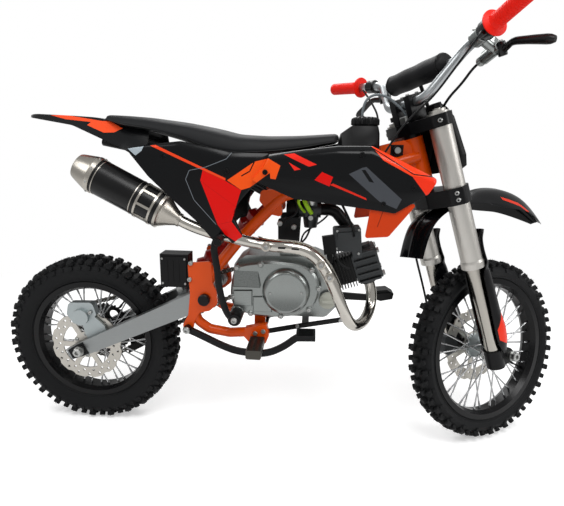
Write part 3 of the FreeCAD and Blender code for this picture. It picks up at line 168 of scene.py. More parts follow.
MM = 0.001
seat_point = np.array((455.0, 0.0, 779.0298507))       # the origin, drawn from the rear axle and the ground


def ground(points):
    """Metres in the frame, from millimetres forward of the rear axle, left, and above the ground."""
    return (np.asarray(points, dtype=float) - seat_point) * MM


joints = {joint["name"]: joint for joint in frame["joints"]}
fork_up = np.array(joints["steering_turn"]["axis"], dtype=float)
fork_left = np.array(joints["front_wheel_spin"]["axis"], dtype=float)
fork_basis = np.stack((np.cross(fork_left, fork_up), fork_left, fork_up))
front_axle = np.array(joints["front_wheel_spin"]["pos_m"], dtype=float)


def fork(points):
    """Metres in the frame, from millimetres forward, left and up along the fork from the front axle."""
    return front_axle + np.asarray(points, dtype=float) @ fork_basis * MM


rear_axle = np.array((0.0, 0.0, 232.0))                # the rear tyre's radius above the ground


def rear_wheel(points):
    """Metres in the frame, from millimetres round the rear axle."""
    return ground(np.asarray(points, dtype=float) + rear_axle)


def shaded(tree, colour, shade, share):
    """Colour that a share between nought and one takes from a darker tone to full."""
    base = linear(colour)
    darker = tuple(channel * (1 - shade) for channel in base[:3]) + (1.0,)
    return add(tree, "Mix", {"data_type": "RGBA", 0: share, 6: darker, 7: base})


def skin(tree, output, uneven, grain, depth_mm, low, high, values):
    """Principled skin: roughness from low to high with an unevenness, bumped by a grain of a real depth."""
    gloss = add(tree, "MapRange", {"Value": uneven.outputs[0], "To Min": low, "To Max": min(high, 1.0)})
    bump = add(tree, "Bump", {"Height": grain.outputs[0], "Strength": 1.0, "Distance": depth_mm * MM})
    made = add(tree, "BsdfPrincipled", {"Roughness": gloss.outputs[0], "Normal": bump.outputs[0], **values})
    tree.links.new(made.outputs[0], output.inputs["Surface"])


def moulded(name, colour, roughness, grain_mm, depth_mm, shade=0.25, coat=0.0, specular=0.22, zones=(),
            side=(0.0, 1.0, 0.0), middle=0.0):
    """Moulded plastic, rubber or paint: fine grain of a real size, faintly uneven colour, zones of print
    and of painted reflection.
    """
    material, tree, output = blank(name)
    coords = add(tree, "TexCoord", {})
    cloud = add(tree, "TexNoise", {"Vector": coords.outputs["Object"], "Scale": 14.0, "Detail": 3.0})
    tint = shaded(tree, colour, shade, cloud.outputs[0])
    if zones:
        reach, facing = [add(tree, "VectorMath", {"operation": "DOT_PRODUCT", 0: coords.outputs[of],
                                                  1: tuple(side)}) for of in ("Object", "Normal")]
        apart = maths(tree, "SUBTRACT", reach.outputs["Value"], middle)
        outwards = maths(tree, "MULTIPLY", apart, facing.outputs["Value"])
        outside = maths(tree, "GREATER_THAN", outwards, -0.004)
    for zone_colour, across, up, corners in zones:
        patch = zone(tree, coords.outputs["Object"], across, up, corners)
        inside = maths(tree, "MULTIPLY", patch, outside)
        tint = add(tree, "Mix", {"data_type": "RGBA", 0: inside, 6: tint.outputs[2],
                                 7: linear(zone_colour)})
    grain = add(tree, "TexNoise", {"Vector": coords.outputs["Object"], "Scale": 1 / (grain_mm * MM),
                                   "Detail": 2.0})
    skin(tree, output, cloud, grain, depth_mm, roughness * 0.82, roughness * 1.2,
         {"Base Color": tint.outputs[2], "Coat Weight": coat, "Specular IOR Level": specular})
    return material


def zone(tree, place, across, up, corners):
    """Mask of a convex patch: the least distance of a point inside the patch's edges, cut off at nought."""
    corners = np.array(corners, dtype=float)
    following = np.roll(corners, -1, axis=0)
    along = following - corners
    hand = np.sign(np.sum(corners[:, 0] * following[:, 1] - corners[:, 1] * following[:, 0]))
    inward = hand * np.stack((-along[:, 1], along[:, 0]), axis=1) / np.linalg.norm(along, axis=1)[:, None]
    least = None
    for (u, v), (nu, nv) in zip(corners, inward):
        normal = nu * np.array(across) + nv * np.array(up)
        dot = add(tree, "VectorMath", {"operation": "DOT_PRODUCT", 0: place, 1: tuple(normal)})
        depth = maths(tree, "SUBTRACT", dot.outputs["Value"], u * nu + v * nv)
        least = depth if least is None else maths(tree, "MINIMUM", least, depth)
    soft_edge = 0.3 * MM
    return add(tree, "MapRange", {"Value": least, "From Min": 0.0, "From Max": soft_edge}).outputs[0]


def side_zone(colour, corners):
    """Zone drawn in the side view, in millimetres from the rear axle and the ground."""
    drawn = [(x - seat_point[0], z - seat_point[2]) for x, z in corners]
    return colour, (1, 0, 0), (0, 0, 1), np.array(drawn) * MM


def worked_metal(name, colour, roughness, grain_mm, depth_mm, stretch=(1, 1, 1)):
    """Bare metal: lines left by the tool or the mould, stretched along the way it was worked."""
    material, tree, output = blank(name)
    coords = add(tree, "TexCoord", {})
    stretched = add(tree, "Mapping", {"Vector": coords.outputs["Object"], "Scale": stretch})
    grain = add(tree, "TexNoise", {"Vector": stretched.outputs[0], "Scale": 1 / (grain_mm * MM),
                                   "Detail": 3.0})
    tint = shaded(tree, colour, 0.15, grain.outputs[0])
    skin(tree, output, grain, grain, depth_mm, roughness * 0.8, roughness * 1.25,
         {"Base Color": tint.outputs[2], "Metallic": 1.0})
    return material


def dress(material, *names):
    """Give CAD nodes a finish."""
    for name in names:
        for slot in nodes[name].material_slots:
            slot.material = material


def weave(rows, columns, shut_rows=False, shut_columns=False):
    """Quads between neighbours of a grid; a shut way joins its last line of points to its first."""
    i, j = np.meshgrid(np.arange(rows if shut_rows else rows - 1),
                       np.arange(columns if shut_columns else columns - 1), indexing="ij")
    i, j = i.ravel(), j.ravel()
    i2, j2 = (i + 1) % rows, (j + 1) % columns
    return np.stack((i * columns + j, i2 * columns + j, i2 * columns + j2, i * columns + j2), axis=1)


def solid(rings, round_again=False):
    """Skin over closed rings of points, capped at its two ends unless the last ring meets the first."""
    rings = np.asarray(rings, dtype=float)
    rows, columns = rings.shape[:2]
    faces = [weave(rows, columns, round_again, True)]
    if not round_again:
        ends = np.arange(columns)
        faces += [ends[None, ::-1], (rows - 1) * columns + ends[None]]
    return rings.reshape(-1, 3), faces


def circle(count):
    """Angles in even steps round a circle."""
    return np.linspace(0, 2 * np.pi, count, endpoint=False)


def lathe(profile, sides):
    """Profile of (radius, height) turned about Z: x = r cos a, y = r sin a, z = height."""
    r, h = np.array(profile, dtype=float).T
    a = circle(sides)
    rings = np.stack((r[:, None] * np.cos(a), r[:, None] * np.sin(a), h[:, None] + 0 * a), axis=2)
    return solid(rings)


def copies(part, centres, axes):
    """Copies of a part: own Z along each axis, own origin at each centre."""
    points, faces = part
    centres = np.atleast_2d(np.asarray(centres, dtype=float))
    z = np.broadcast_to(np.atleast_2d(np.asarray(axes, dtype=float)), centres.shape)
    z = z / np.linalg.norm(z, axis=1, keepdims=True)
    helper = np.where(np.abs(z[:, 2:]) > 0.9, (1.0, 0.0, 0.0), (0.0, 0.0, 1.0))
    x = np.cross(helper, z)
    x = x / np.linalg.norm(x, axis=1, keepdims=True)
    turns = np.stack((x, np.cross(z, x), z), axis=1)
    placed = centres[:, None] + np.einsum("pk,nki->npi", points, turns)
    shift = np.arange(len(centres))[:, None, None] * len(points)
    return placed.reshape(-1, 3), [(face[None] + shift).reshape(-1, face.shape[1]) for face in faces]


def turned(profile, centres, axes, sides=32):
    """Turned parts: the lathe form of a profile at each centre, along each axis."""
    return copies(lathe(profile, sides), centres, axes)


def swept(route, radius, sides=12, section=None, toward=(0.0, 0.0, 1.0)):
    """Section carried along a route: centre + u * side + v * up, side square to the route and to toward."""
    route = np.asarray(route, dtype=float)
    tangent = np.gradient(route, axis=0)
    tangent /= np.linalg.norm(tangent, axis=1, keepdims=True)
    side = np.cross(tangent, np.asarray(toward, dtype=float))
    side /= np.linalg.norm(side, axis=1, keepdims=True)
    up = np.cross(side, tangent)
    if section is None:
        a = circle(sides)
        section = np.stack((np.cos(a), np.sin(a)), axis=1)
    section = np.asarray(section, dtype=float) * np.reshape(radius, (-1, 1, 1))
    section = np.broadcast_to(section, (len(route),) + section.shape[1:])
    return solid(route[:, None] + section[..., :1] * side[:, None] + section[..., 1:] * up[:, None])


def eased(corners, count=6):
    """Smooth line past corners, from middle a of a run to middle b: (1-t)^2 a + 2t(1-t) corner + t^2 b."""
    corners = np.asarray(corners, dtype=float)
    middles = (corners[1:] + corners[:-1]) / 2
    middles[0], middles[-1] = corners[0], corners[-1]
    t = np.linspace(0, 1, count, endpoint=False)[None, :, None]
    start, corner, end = middles[:-1, None], corners[1:-1, None], middles[1:, None]
    arcs = (1 - t) ** 2 * start + 2 * t * (1 - t) * corner + t ** 2 * end
    return np.concatenate((arcs.reshape(-1, corners.shape[1]), corners[-1:]))


def build(name, parts, material, place=ground, body="frame", crease=35.0):
    """One piece from parts (points, faces): placed, merged, faces outwards, smooth up to the crease."""
    points = np.concatenate([part[0] for part in parts])
    starts = np.cumsum([0] + [len(part[0]) for part in parts])
    faces = [face for part, start in zip(parts, starts) for group in part[1]
             for face in (group + start).tolist()]
    mesh = bpy.data.meshes.new(name)
    mesh.from_pydata(place(points).tolist(), [], faces)
    closed = bmesh.new()
    closed.from_mesh(mesh)
    bmesh.ops.remove_doubles(closed, verts=closed.verts, dist=1e-6)
    bmesh.ops.recalc_face_normals(closed, faces=closed.faces)
    closed.to_mesh(mesh)
    closed.free()
    mesh.shade_smooth()
    mesh.set_sharp_from_angle(angle=np.radians(crease))
    mesh.materials.append(material)
    made = bpy.data.objects.new(name, mesh)
    bpy.context.collection.objects.link(made)
    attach(made, body)
    return made


# button-head socket bolt of radius 1 with a recess
bolt_head = lathe([(0, 0.25), (0.45, 0.25), (0.45, 0.72), (0.78, 0.72), (1, 0.4), (1, -0.3), (0, -0.3)], 12)
# flanged hex nut of radius 1, six-sided above its flange
hex_ring = np.stack((np.cos(np.arange(6) * np.pi / 3), np.sin(np.arange(6) * np.pi / 3)), axis=1)
hex_nut = solid([np.column_stack((hex_ring * r, np.full(6, h)))
                 for r, h in ((0.001, 0.5), (0.5, 0.5), (0.5, 0.9), (0.9, 0.9), (1, 0.8),
                              (1, 0), (0.001, 0))])


def fasteners(name, kind, table, place=ground, body="frame", material=None):
    """Bolts from rows of x, y, z, the way the head faces, its radius; zinc plated if nothing is named."""
    parts = [copies((kind[0] * row[6], kind[1]), row[:3], row[3:6]) for row in np.array(table, dtype=float)]
    return build(name, parts, material or zinc_steel, place, body, crease=28)


# Powder coat: thick glossy film with faint orange peel
orange_enamel = moulded("orange powder coat", "#d64a02", 0.24, 2.5, 0.04, shade=0.1, specular=0.3)
# Sprayed satin black: brackets with a soft grey line along each edge
satin_black = moulded("satin black paint", "#08080a", 0.32, 1.5, 0.03, specular=0.22)
# Zinc plate: small cool glints on the bolt heads
zinc_steel = worked_metal("zinc plated steel", "#b9bab8", 0.3, 1.0, 0.02)
dress(orange_enamel, "main_frame")
dress(satin_black, "subframe", "engine_hangers")
# ways a bolt or plate faces: right, left, forward, up
R, L, F, U = (0, -1, 0), (0, 1, 0), (1, 0, 0), (0, 0, 1)


def mirrored(rows):
    """Bolts on both sides, heads outwards, from rows of x, y, z and head radius."""
    return [(x, s * y, z, 0, s, 0, radius) for x, y, z, radius in rows for s in (-1, 1)]


fasteners("frame_bolts", bolt_head,
          mirrored([(511, 55, 574, 7), (545, 55, 566, 7), (300, 100, 478, 6), (296, 100, 437, 6),
                    (458, 104, 306, 6), (478, 104, 312, 6)]))
plugs = turned([(0, 5.5), (12, 5), (14.5, 3), (14.5, -8), (0, -8)], [(332, -108, 388), (332, 108, 388)],
               [R, L])
build("pivot_plugs", [plugs], satin_black)

# Wheels: black enamelled rims laced with steel spokes to cast hubs, scalloped drilled discs, and lugged
# off-road tyres of black rubber with three rows of blocks, moulded hairs still on them.

# Natural rubber goes dull: a broad soft sheen and a fine pitted skin
tyre_rubber = moulded("tyre rubber", "#0d0e10", 0.6, 1.6, 0.2, shade=0.35)
# Baked enamel: a thin bright arc along the rim's lip
black_enamel = moulded("black rim enamel", "#08080a", 0.24, 6.0, 0.02, specular=0.25)
# Extruded aluminium: faint streaks along its length
satin_alloy = worked_metal("satin aluminium", "#999c9c", 0.38, 1.5, 0.02, stretch=(0.08, 1, 1))
# Drawn wire: bright hair lines across the dark
spoke_steel = worked_metal("bright steel wire", "#c9cacb", 0.24, 1.0, 0.01)
# Ground disc faces: warm grey with a wide sheen
ground_steel = worked_metal("ground stainless steel", "#c9c5bd", 0.34, 0.8, 0.02)


def lug(width, length, height):
    """Rubber block: an eight-cornered ring that flares at its root and is chamfered at its top."""
    cut = 0.22 * min(width, length)
    w, l = width / 2, length / 2
    ring = np.array([(w, -l + cut), (w, l - cut), (w - cut, l), (-w + cut, l), (-w, l - cut),
                     (-w, -l + cut), (-w + cut, -l), (w - cut, -l)])
    return solid([np.column_stack((ring * scale, np.full(8, z)))
                  for scale, z in ((1.14, -4.0), (1.04, 2.0), (1.0, height - 1.0), (0.9, height))])


def round_wheel(part, count, shift, radius, y, tilt):
    """Copies of a part round the Y direction: own Z leans from the radius towards the side by the tilt."""
    points, faces = part
    a = 2 * np.pi * (np.arange(count) + shift) / count
    t = np.radians(tilt)
    radial = np.stack((np.sin(a), 0 * a, np.cos(a)), axis=1)
    tangent = np.stack((np.cos(a), 0 * a, -np.sin(a)), axis=1)
    sideways = np.broadcast_to((0.0, 1.0, 0.0), radial.shape)
    up = radial * np.cos(t) + sideways * np.sin(t)
    over = sideways * np.cos(t) - radial * np.sin(t)
    turns = np.stack((over, tangent, up), axis=1)
    placed = (radial * radius + sideways * y)[:, None] + np.einsum("pk,nki->npi", points, turns)
    shifts = np.arange(count)[:, None, None] * len(points)
    return placed.reshape(-1, 3), [(face[None] + shifts).reshape(-1, face.shape[1]) for face in faces]


def knobbly_tyre(name, node, radius, half, rim_radius, rim_half, rows, place, body):
    """Carcass turned about the axle from a closed profile, with rows of lugs and thin rubber hairs."""
    bead = rim_radius - 10.6
    half_profile = [(bead, rim_half - 3.4), (rim_radius + 1, rim_half - 2.4),
                    (rim_radius + 4, rim_half + 1.5), (rim_radius + 7, rim_half + 0.5),
                    ((rim_radius + radius) / 2 - 12, half - 2.5), (radius - 33, half - 1.5),
                    (radius - 30, half - 0.4), (radius - 27, half - 1.6), (radius - 20, half * 0.86),
                    (radius - 14.5, half * 0.6), (radius - 12, half * 0.28)]
    profile = np.array([(r, -y) for r, y in half_profile] + [(r, y) for r, y in reversed(half_profile)])
    a = circle(104)[:, None]
    parts = [solid(np.stack((profile[:, 0] * np.sin(a), profile[:, 1] + 0 * a, profile[:, 0] * np.cos(a)),
                            axis=2), round_again=True)]
    hair = lathe([(0.55, -1), (0.45, 2), (0.3, 3.6)], 4)
    for count, shift, depth, y, tilt, width, length, height, hairs in rows:
        for hand in ((-1, 1) if y else (1,)):
            blocks = [lug(width, length, height)]
            blocks += [(hair[0] + (u * width, v * length, height - 0.5), hair[1]) for u, v in hairs]
            parts += [round_wheel(block, count, shift, radius - depth, hand * y, hand * tilt)
                      for block in blocks]
    made = build(name, parts, tyre_rubber, place, body, crease=40)
    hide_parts(node)


# count, shift, depth of the root, side, tilt, width, length, height, places of the hairs
rear_rows = [(26, 0.75, 13.0, 0.0, 0, 20, 15, 12.6, ((0.3, 0.1), (-0.3, -0.2))),
             (26, 0.25, 13.6, 12.5, 6, 12, 14, 12.4, ((0.2, 0.2),)),
             (26, 0.25, 16.0, 30.5, 38, 15, 16, 11.5, ((0.2, 0.1),)),
             (26, 0.75, 15.2, 27.0, 32, 13, 13, 11.0, ((0.1, 0.2),)),
             (26, 0.25, 26.0, 39.0, 74, 12, 11, 4.2, ()), (26, 0.75, 26.0, 39.0, 74, 10, 8, 3.4, ())]
front_rows = [(26, 0.75, 13.0, 0.0, 0, 15, 14, 12.6, ((0.3, 0.1), (-0.3, -0.2))),
              (26, 0.25, 13.6, 10.0, 8, 10, 14, 12.2, ((0.2, 0.2),)),
              (26, 0.25, 16.0, 23.0, 40, 12, 14, 10.5, ((0.2, 0.1),)),
              (26, 0.75, 15.2, 20.0, 34, 11, 12, 10.5, ((0.1, 0.2),)),
              (26, 0.25, 25.0, 29.0, 76, 10, 9, 3.2, ())]
knobbly_tyre("lugged_tyre_rear", "tyre_rear", 232.0, 41.5, 165.0, 30.0, rear_rows, rear_wheel, "wheel_rear")
knobbly_tyre("lugged_tyre_front", "tyre_front", 238.0, 31.0, 189.0, 24.0, front_rows, fork, "wheel_front")


def nipples(name, rim_radius, place, body):
    """Spoke nipples: short tapered sleeves on each spoke's outer end, pointing back along the spoke."""
    spokes, foot_radius = 36, 26.5
    i = np.arange(spokes)
    a = i * 2 * np.pi / spokes
    hand = np.where(i % 2, 1.0, -1.0)
    lace = np.where(i // 2 % 2, 1.0, -1.0) * np.radians(38)
    flange = 28.0 if rim_radius < 180 else 22.0
    foot = np.stack((foot_radius * np.cos(a + lace), hand * flange, foot_radius * np.sin(a + lace)), axis=1)
    inner = rim_radius - 22.0
    end = np.stack((inner * np.cos(a), hand * 4.0, inner * np.sin(a)), axis=1)
    sleeve = lathe([(3.2, -3), (3.2, 2), (2.6, 4), (2.4, 15), (1.9, 16)], 8)
    return build(name, [copies(sleeve, end, foot - end)], spoke_steel, place, body)


nipples("nipples_rear", 165.0, rear_wheel, "wheel_rear")
nipples("nipples_front", 189.0, fork, "wheel_front")
valve = lathe([(0, 0), (4.2, 0), (4.2, 3), (2.4, 4), (2.4, 22), (3.4, 22.5), (3.4, 34), (0, 35)], 12)
build("valve_rear", [copies(valve, (139 * 0.62, 6, 139 * 0.785), (-0.62, 0.16, -0.785))], satin_black,
      rear_wheel, "wheel_rear")
build("valve_front", [copies(valve, (163 * 0.7, 4, -163 * 0.714), (-0.7, 0.16, 0.714))], satin_black, fork,
      "wheel_front")
dress(black_enamel, "rim_rear", "rim_front")
dress(spoke_steel, "hub_rear", "hub_front")
dress(ground_steel, "disc_rear", "disc_front")
disc_ring = [(30 * np.cos(a), 30 * np.sin(a)) for a in np.arange(6) * np.pi / 3 + np.pi / 6]
fasteners("disc_bolts_rear", bolt_head, [(x, -59.3, z, *R, 5) for x, z in disc_ring], rear_wheel,
          "wheel_rear")
fasteners("disc_bolts_front", bolt_head, [(x, 36.3, z, *L, 5) for x, z in disc_ring], fork, "wheel_front")
dress(zinc_steel, "axle_rear", "axle_front", "pivot_bolts")
fasteners("axle_nuts_rear", hex_nut, mirrored([(0, 102, 0, 12)]), rear_wheel)
fasteners("axle_nuts_front", hex_nut, mirrored([(0, 93, 0, 12)]), fork, "steering")

# Chain drive, swingarm and shock: a box-section aluminium arm with end adjusters, an oiled roller chain
# on a black rear sprocket, and a red spring between arm and frame.

# Steel under oil: dark, with dull glints on the links
oiled_steel = worked_metal("oiled steel", "#55534e", 0.4, 1.0, 0.05)
# Dipped enamel: deep red under a clear gloss
red_spring = moulded("red spring enamel", "#a3140e", 0.3, 4.0, 0.02, shade=0.1, coat=0.3)
# Matt black plastic: seen only by its soft shading
matt_polymer = moulded("matt black polymer", "#0a0a0b", 0.42, 1.0, 0.05)
dress(satin_alloy, "swingarm")
dress(oiled_steel, "chain", "sprocket_front", "footpegs")
dress(black_enamel, "sprocket_rear")
dress(red_spring, "shock")
dress(matt_polymer, "battery_box", "chain_guide")


def tilted(angle):
    """Ways along and square to a line that rises by an angle in the side view."""
    c, s = np.cos(angle), np.sin(angle)
    return np.array((c, 0.0, s)), np.array((-s, 0.0, c))


arm_way, arm_up = tilted(np.arctan2(156.0, 332.0))


def on_arm(t, y, n):
    """Point at t from the rear axle along the arm, n above its middle line."""
    return rear_axle + arm_way * t + arm_up * n + (0.0, y, 0.0)


def slab_on(origin, way, up, out, outline, thickness, bevel=0.8):
    """Plate with a bevelled edge: an outline (u, v) in the plane of way and up, risen by its thickness."""
    outline = np.array(outline, dtype=float)
    middle = outline.mean(axis=0)
    reach = np.linalg.norm(outline - middle, axis=1, keepdims=True)
    inner = middle + (outline - middle) * (1 - bevel / reach)
    flat = [np.asarray(origin) + shape[:, :1] * way + shape[:, 1:] * up + np.asarray(out) * h
            for shape, h in ((outline, -1.0), (outline, thickness - bevel), (inner, thickness))]
    return solid(flat)


end_block = [(-30, -13), (-2, -17), (16, -17), (16, 17), (-2, 17), (-30, 13)]
adjusters = [slab_on(on_arm(0, s * 92, 0), arm_way, arm_up, (0, s, 0), end_block, 3.0) for s in (-1, 1)]
build("arm_adjusters", adjusters, satin_black)
fasteners("adjuster_bolts", hex_nut, [(*on_arm(-38, s * 80, 0), *-arm_way, 6) for s in (-1, 1)])
link_count, rear_teeth, front_teeth, pitch = 100, 41, 14, 12.7
rear_x, rear_z, front_x, front_z = 0.0, 232.0, 425.0, 408.0      # sprocket centres
chain_y = 58.0


def pitch_line(s):
    """Chain's pitch line: round the rear sprocket, along the lower run, round the front one, and back."""
    rear, front = [pitch / (2 * np.sin(np.pi / teeth)) for teeth in (rear_teeth, front_teeth)]
    tilt = np.arctan2(front_z - rear_z, front_x - rear_x)
    span = np.hypot(front_x - rear_x, front_z - rear_z)
    wrap = np.arcsin((rear - front) / span)
    run = np.sqrt(span ** 2 - (rear - front) ** 2)
    arcs = rear * (np.pi + 2 * wrap), front * (np.pi - 2 * wrap)
    s = s * (arcs[0] + arcs[1] + 2 * run)
    upper, lower = tilt + np.pi / 2 - wrap, tilt - np.pi / 2 + wrap
    places = [s < arcs[0], s < arcs[0] + run, s < arcs[0] + run + arcs[1]]
    angle = np.select(places, [upper + s / rear, lower + 0 * s, lower + (s - arcs[0] - run) / front], upper)
    ahead = np.select(places, [0 * s, s - arcs[0], 0 * s], s - arcs[0] - run - arcs[1])
    at_rear = s < arcs[0] + run
    r = np.where(at_rear, rear, front)
    x = np.where(at_rear, rear_x, front_x) + r * np.cos(angle) - ahead * np.sin(angle)
    z = np.where(at_rear, rear_z, front_z) + r * np.sin(angle) + ahead * np.cos(angle)
    return np.stack((x, np.full_like(x, chain_y), z), axis=1)


pins = pitch_line(np.arange(link_count) / link_count)
rivet = lathe([(0, 0.9), (1.6, 0.8), (2.2, 0.2), (2.2, -1), (0, -1)], 8)
build("chain_rivets", [copies(rivet, pins + (0, s * 6, 0), (0, s, 0)) for s in (-1, 1)], zinc_steel)
fasteners("sprocket_bolts", hex_nut,
          [(26 * np.cos(a), 60.8, 26 * np.sin(a), *L, 5.5) for a in np.arange(6) * np.pi / 3 + 0.5],
          rear_wheel, "wheel_rear")

# Engine: light grey painted castings with a round clutch cover, a black finned barrel and a dark finned
# head lying forward, all screwed together; hangers and a carburettor sit above it.

# Sprayed silver paint over a sand casting: fine pebble that softens the gloss
case_paint = worked_metal("silver case lacquer", "#959997", 0.28, 1.2, 0.03)
# Heat-proof paint: fins that read as dark lines
barrel_paint = moulded("black stove paint", "#121313", 0.42, 1.0, 0.05, specular=0.3)
# Casting gone dark: a cloudy grey with coarse pits
dark_casting = worked_metal("dark aluminium casting", "#4b4d4e", 0.45, 1.0, 0.1)
# Smooth rubber: one long soft highlight
hose_rubber = moulded("smooth black rubber", "#0a0b0c", 0.4, 1.5, 0.03)
dress(case_paint, "crankcase", "left_covers")
dress(barrel_paint, "cylinder_barrel")
dress(dark_casting, "cylinder_head", "carburettor")
dress(hose_rubber, "intake_manifold", "air_filter")
cover_bolts = [(402, 396), (412, 470), (470, 480), (592, 470), (610, 426), (588, 372),
               (520, 352), (446, 356)]
fasteners("cover_bolts", bolt_head, [(x, -101, z, *R, 5) for x, z in cover_bolts]
          + [(532 - 37, -115.4, 414, *R, 3), (532 + 37, -115.4, 418, *R, 3)]
          + [(552 + 56 * np.cos(a), 95, 416 + 56 * np.sin(a), *L, 4) for a in (0.4, 1.9, 3.5, 5.1)]
          + [(400, 71, 436, *L, 4), (404, 71, 382, *L, 4)])
cover_outline = eased([(411, 365), (392, 380), (402, 468), (430, 480), (500, 490), (590, 480), (617, 430),
                       (600, 370), (530, 345), (430, 350), (411, 365)], 6)[:-1]
square_face = [(0, 0), (46, 0), (46, 40), (0, 38)]
drum = lathe([(0, 25.4), (43, 25.4), (44, 26), (47, 26), (49.5, 24.6), (55, 19), (57.4, 14), (58, 8),
              (58, 0), (0, 0)], 80)
casting = [slab_on((0, -62.3, 0), F, U, R, cover_outline, 35.7, bevel=5), copies(drum, (532, -90, 416), R),
           slab_on((404, -104, 424), F, (0, 0.3, 0.954), (0, -0.954, 0.3),
                   [(0, 0), (66, 0), (60, 46), (0, 42)], 6, bevel=2),
           slab_on((404, -98, 376), F, U, R, square_face, 5, bevel=2),
           slab_on((452, -98, 362), F, U, R, square_face, 5, bevel=2),
           turned([(0, 38.7), (15.5, 38.7), (17, 37), (17, 0), (0, 0)], (412, -62.3, 356), R, 32),
           turned([(0, 38.7), (6, 38.7), (7, 37.7), (7, 0), (0, 0)],
                  [(x, -62.3, z) for x, z in cover_bolts], R, 20)]
cover_piece = build("cover_casting", casting, case_paint)
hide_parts("clutch_cover")
cylinder_way, cylinder_up = tilted(np.radians(19))
cylinder_foot = np.array((600.0, 0.0, 428.0))
head_nuts = [cylinder_foot + cylinder_way * 168 + cylinder_up * n + (0, y, 0) for n in (-30, 30)
             for y in (-34, 34)]
fasteners("head_nuts", hex_nut, [(*p, *cylinder_way, 7) for p in head_nuts])
fasteners("head_box_bolts", bolt_head, [(650, -58, 516, *R, 3.5), (650, -58, 560, *R, 3.5),
                                        (704, -58, 506, *R, 3.5), (702, -58, 564, *R, 3.5)])
# Oil filler: pale moulded cap with a finger bar
pale_polymer = moulded("pale moulded cap", "#b7b8ad", 0.45, 1.0, 0.05, shade=0.1)
filler = lathe([(0, 10), (16, 10), (20, 8), (21, 4), (21, -1), (0, -1)], 40)
finger_bar = swept([(620, -83, 388), (646, -83, 388)], 1.0,
                   section=[(-3.0, -3.5), (3.0, -3.5), (2.2, 3.5), (-2.2, 3.5)])
build("oil_cap", [copies(filler, (633, -71, 388), R), finger_bar], pale_polymer)
# Carburettor fittings and hoses
choke = [turned([(0, 5), (9, 4), (11, 0), (11, -8), (0, -8)], (585, -24, 628), (0, -0.4, 1), 16),
         swept([(578, -24, 634), (560, -32, 644), (548, -36, 640)], 2.4),
         turned([(0, 6), (13, 6), (15, 3), (15, -2), (0, -2)], (585, 0, 640), U, 24),
         turned([(0, 8), (6, 8), (6, 0), (0, 0)], (585, -20, 585), R, 12)]
build("carburettor_fittings", choke, zinc_steel)


def hose(name, points, diameter, material, place=ground, body="frame"):
    """Cable or hose: a NURBS line of order 3 on its control points, with a round bevel.

    Without a body it is handed back as a mesh, attached to no body.
    """
    curve = bpy.data.curves.new(name, "CURVE")
    curve.dimensions = "3D"
    spline = curve.splines.new("NURBS")
    points = place(points)
    spline.points.add(len(points) - 1)
    spline.points.foreach_set("co", np.column_stack((points, np.ones(len(points)))).ravel())
    spline.order_u = 3
    spline.use_endpoint_u = True
    spline.resolution_u = 8
    curve.bevel_depth = diameter / 2 * MM
    curve.bevel_resolution = 3
    curve.use_fill_caps = True
    curve.materials.append(material)
    made = bpy.data.objects.new(name, curve)
    bpy.context.collection.objects.link(made)
    if body:
        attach(made, body)
        return made
    tube = bpy.data.objects.new(name, bpy.data.meshes.new_from_object(made))
    bpy.data.objects.remove(made)
    tube.name = name
    bpy.context.collection.objects.link(tube)
    return tube


# Dyed fuel hose: the one lime accent under the tank
lime_rubber = moulded("lime fuel hose", "#a3d32a", 0.4, 2.0, 0.03, shade=0.1)
hose("fuel_hose", [(590, -26, 644), (574, -46, 652), (556, -52, 640), (554, -50, 618), (570, -26, 600)],
     7, lime_rubber)
hose("fuel_filter", [(566, -38, 634), (572, -42, 622), (580, -40, 608), (586, -30, 598)], 11, lime_rubber)
hose("drain_hose", [(586, -8, 562), (580, -14, 540), (566, -34, 524), (548, -52, 518), (536, -58, 512)],
     5, hose_rubber)
hose("breather_hose", [(520, -40, 520), (506, -50, 548), (524, -56, 584), (556, -50, 600), (548, -46, 640),
                       (520, -40, 652)], 6, hose_rubber)
hose("spark_lead", [(690, -62, 550), (690, -84, 562), (672, -80, 600), (650, -62, 640), (636, -50, 676)],
     6, hose_rubber)

# Exhaust: a polished stainless header with a bolted heat shield, and a round silencer with a black sleeve,
# a strapped steel cage and a brushed steel end cone.

# Polished tube: sharp bright streaks beside dark ones
polished_steel = worked_metal("polished stainless steel", "#cfcbc3", 0.12, 3.0, 0.01)
# Brushed cones: highlights drawn out across the brush lines
brushed_steel = worked_metal("brushed stainless steel", "#bcb7ae", 0.3, 0.7, 0.02, stretch=(1, 0.1, 1))
# Coated sleeve: a black band with one long highlight
sleeve_paint = moulded("black silencer sleeve", "#09090a", 0.3, 1.2, 0.03, specular=0.3)
header_route = eased([(739, -14, 423.7), (749, -14, 396), (744, -34, 356), (722, -84, 337),
                      (690, -132, 346), (666, -148, 392), (634, -151, 472), (604, -151, 514),
                      (566, -150, 535), (500, -146, 536), (444, -112, 538), (322, -108, 561.5),
                      (282, -108, 582)], 10)
header_piece = build("exhaust_pipe", [swept(header_route, 13.5, sides=32)], polished_steel)
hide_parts("exhaust_header")
can_start, can_end = np.array((282.0, -108.0, 582.0)), np.array((40.0, -108.0, 706.0))
can_way = (can_end - can_start) / np.linalg.norm(can_end - can_start)


def can(part):
    """Parts turned about Z, laid along the silencer from its front end."""
    return copies(part, can_start, can_way)


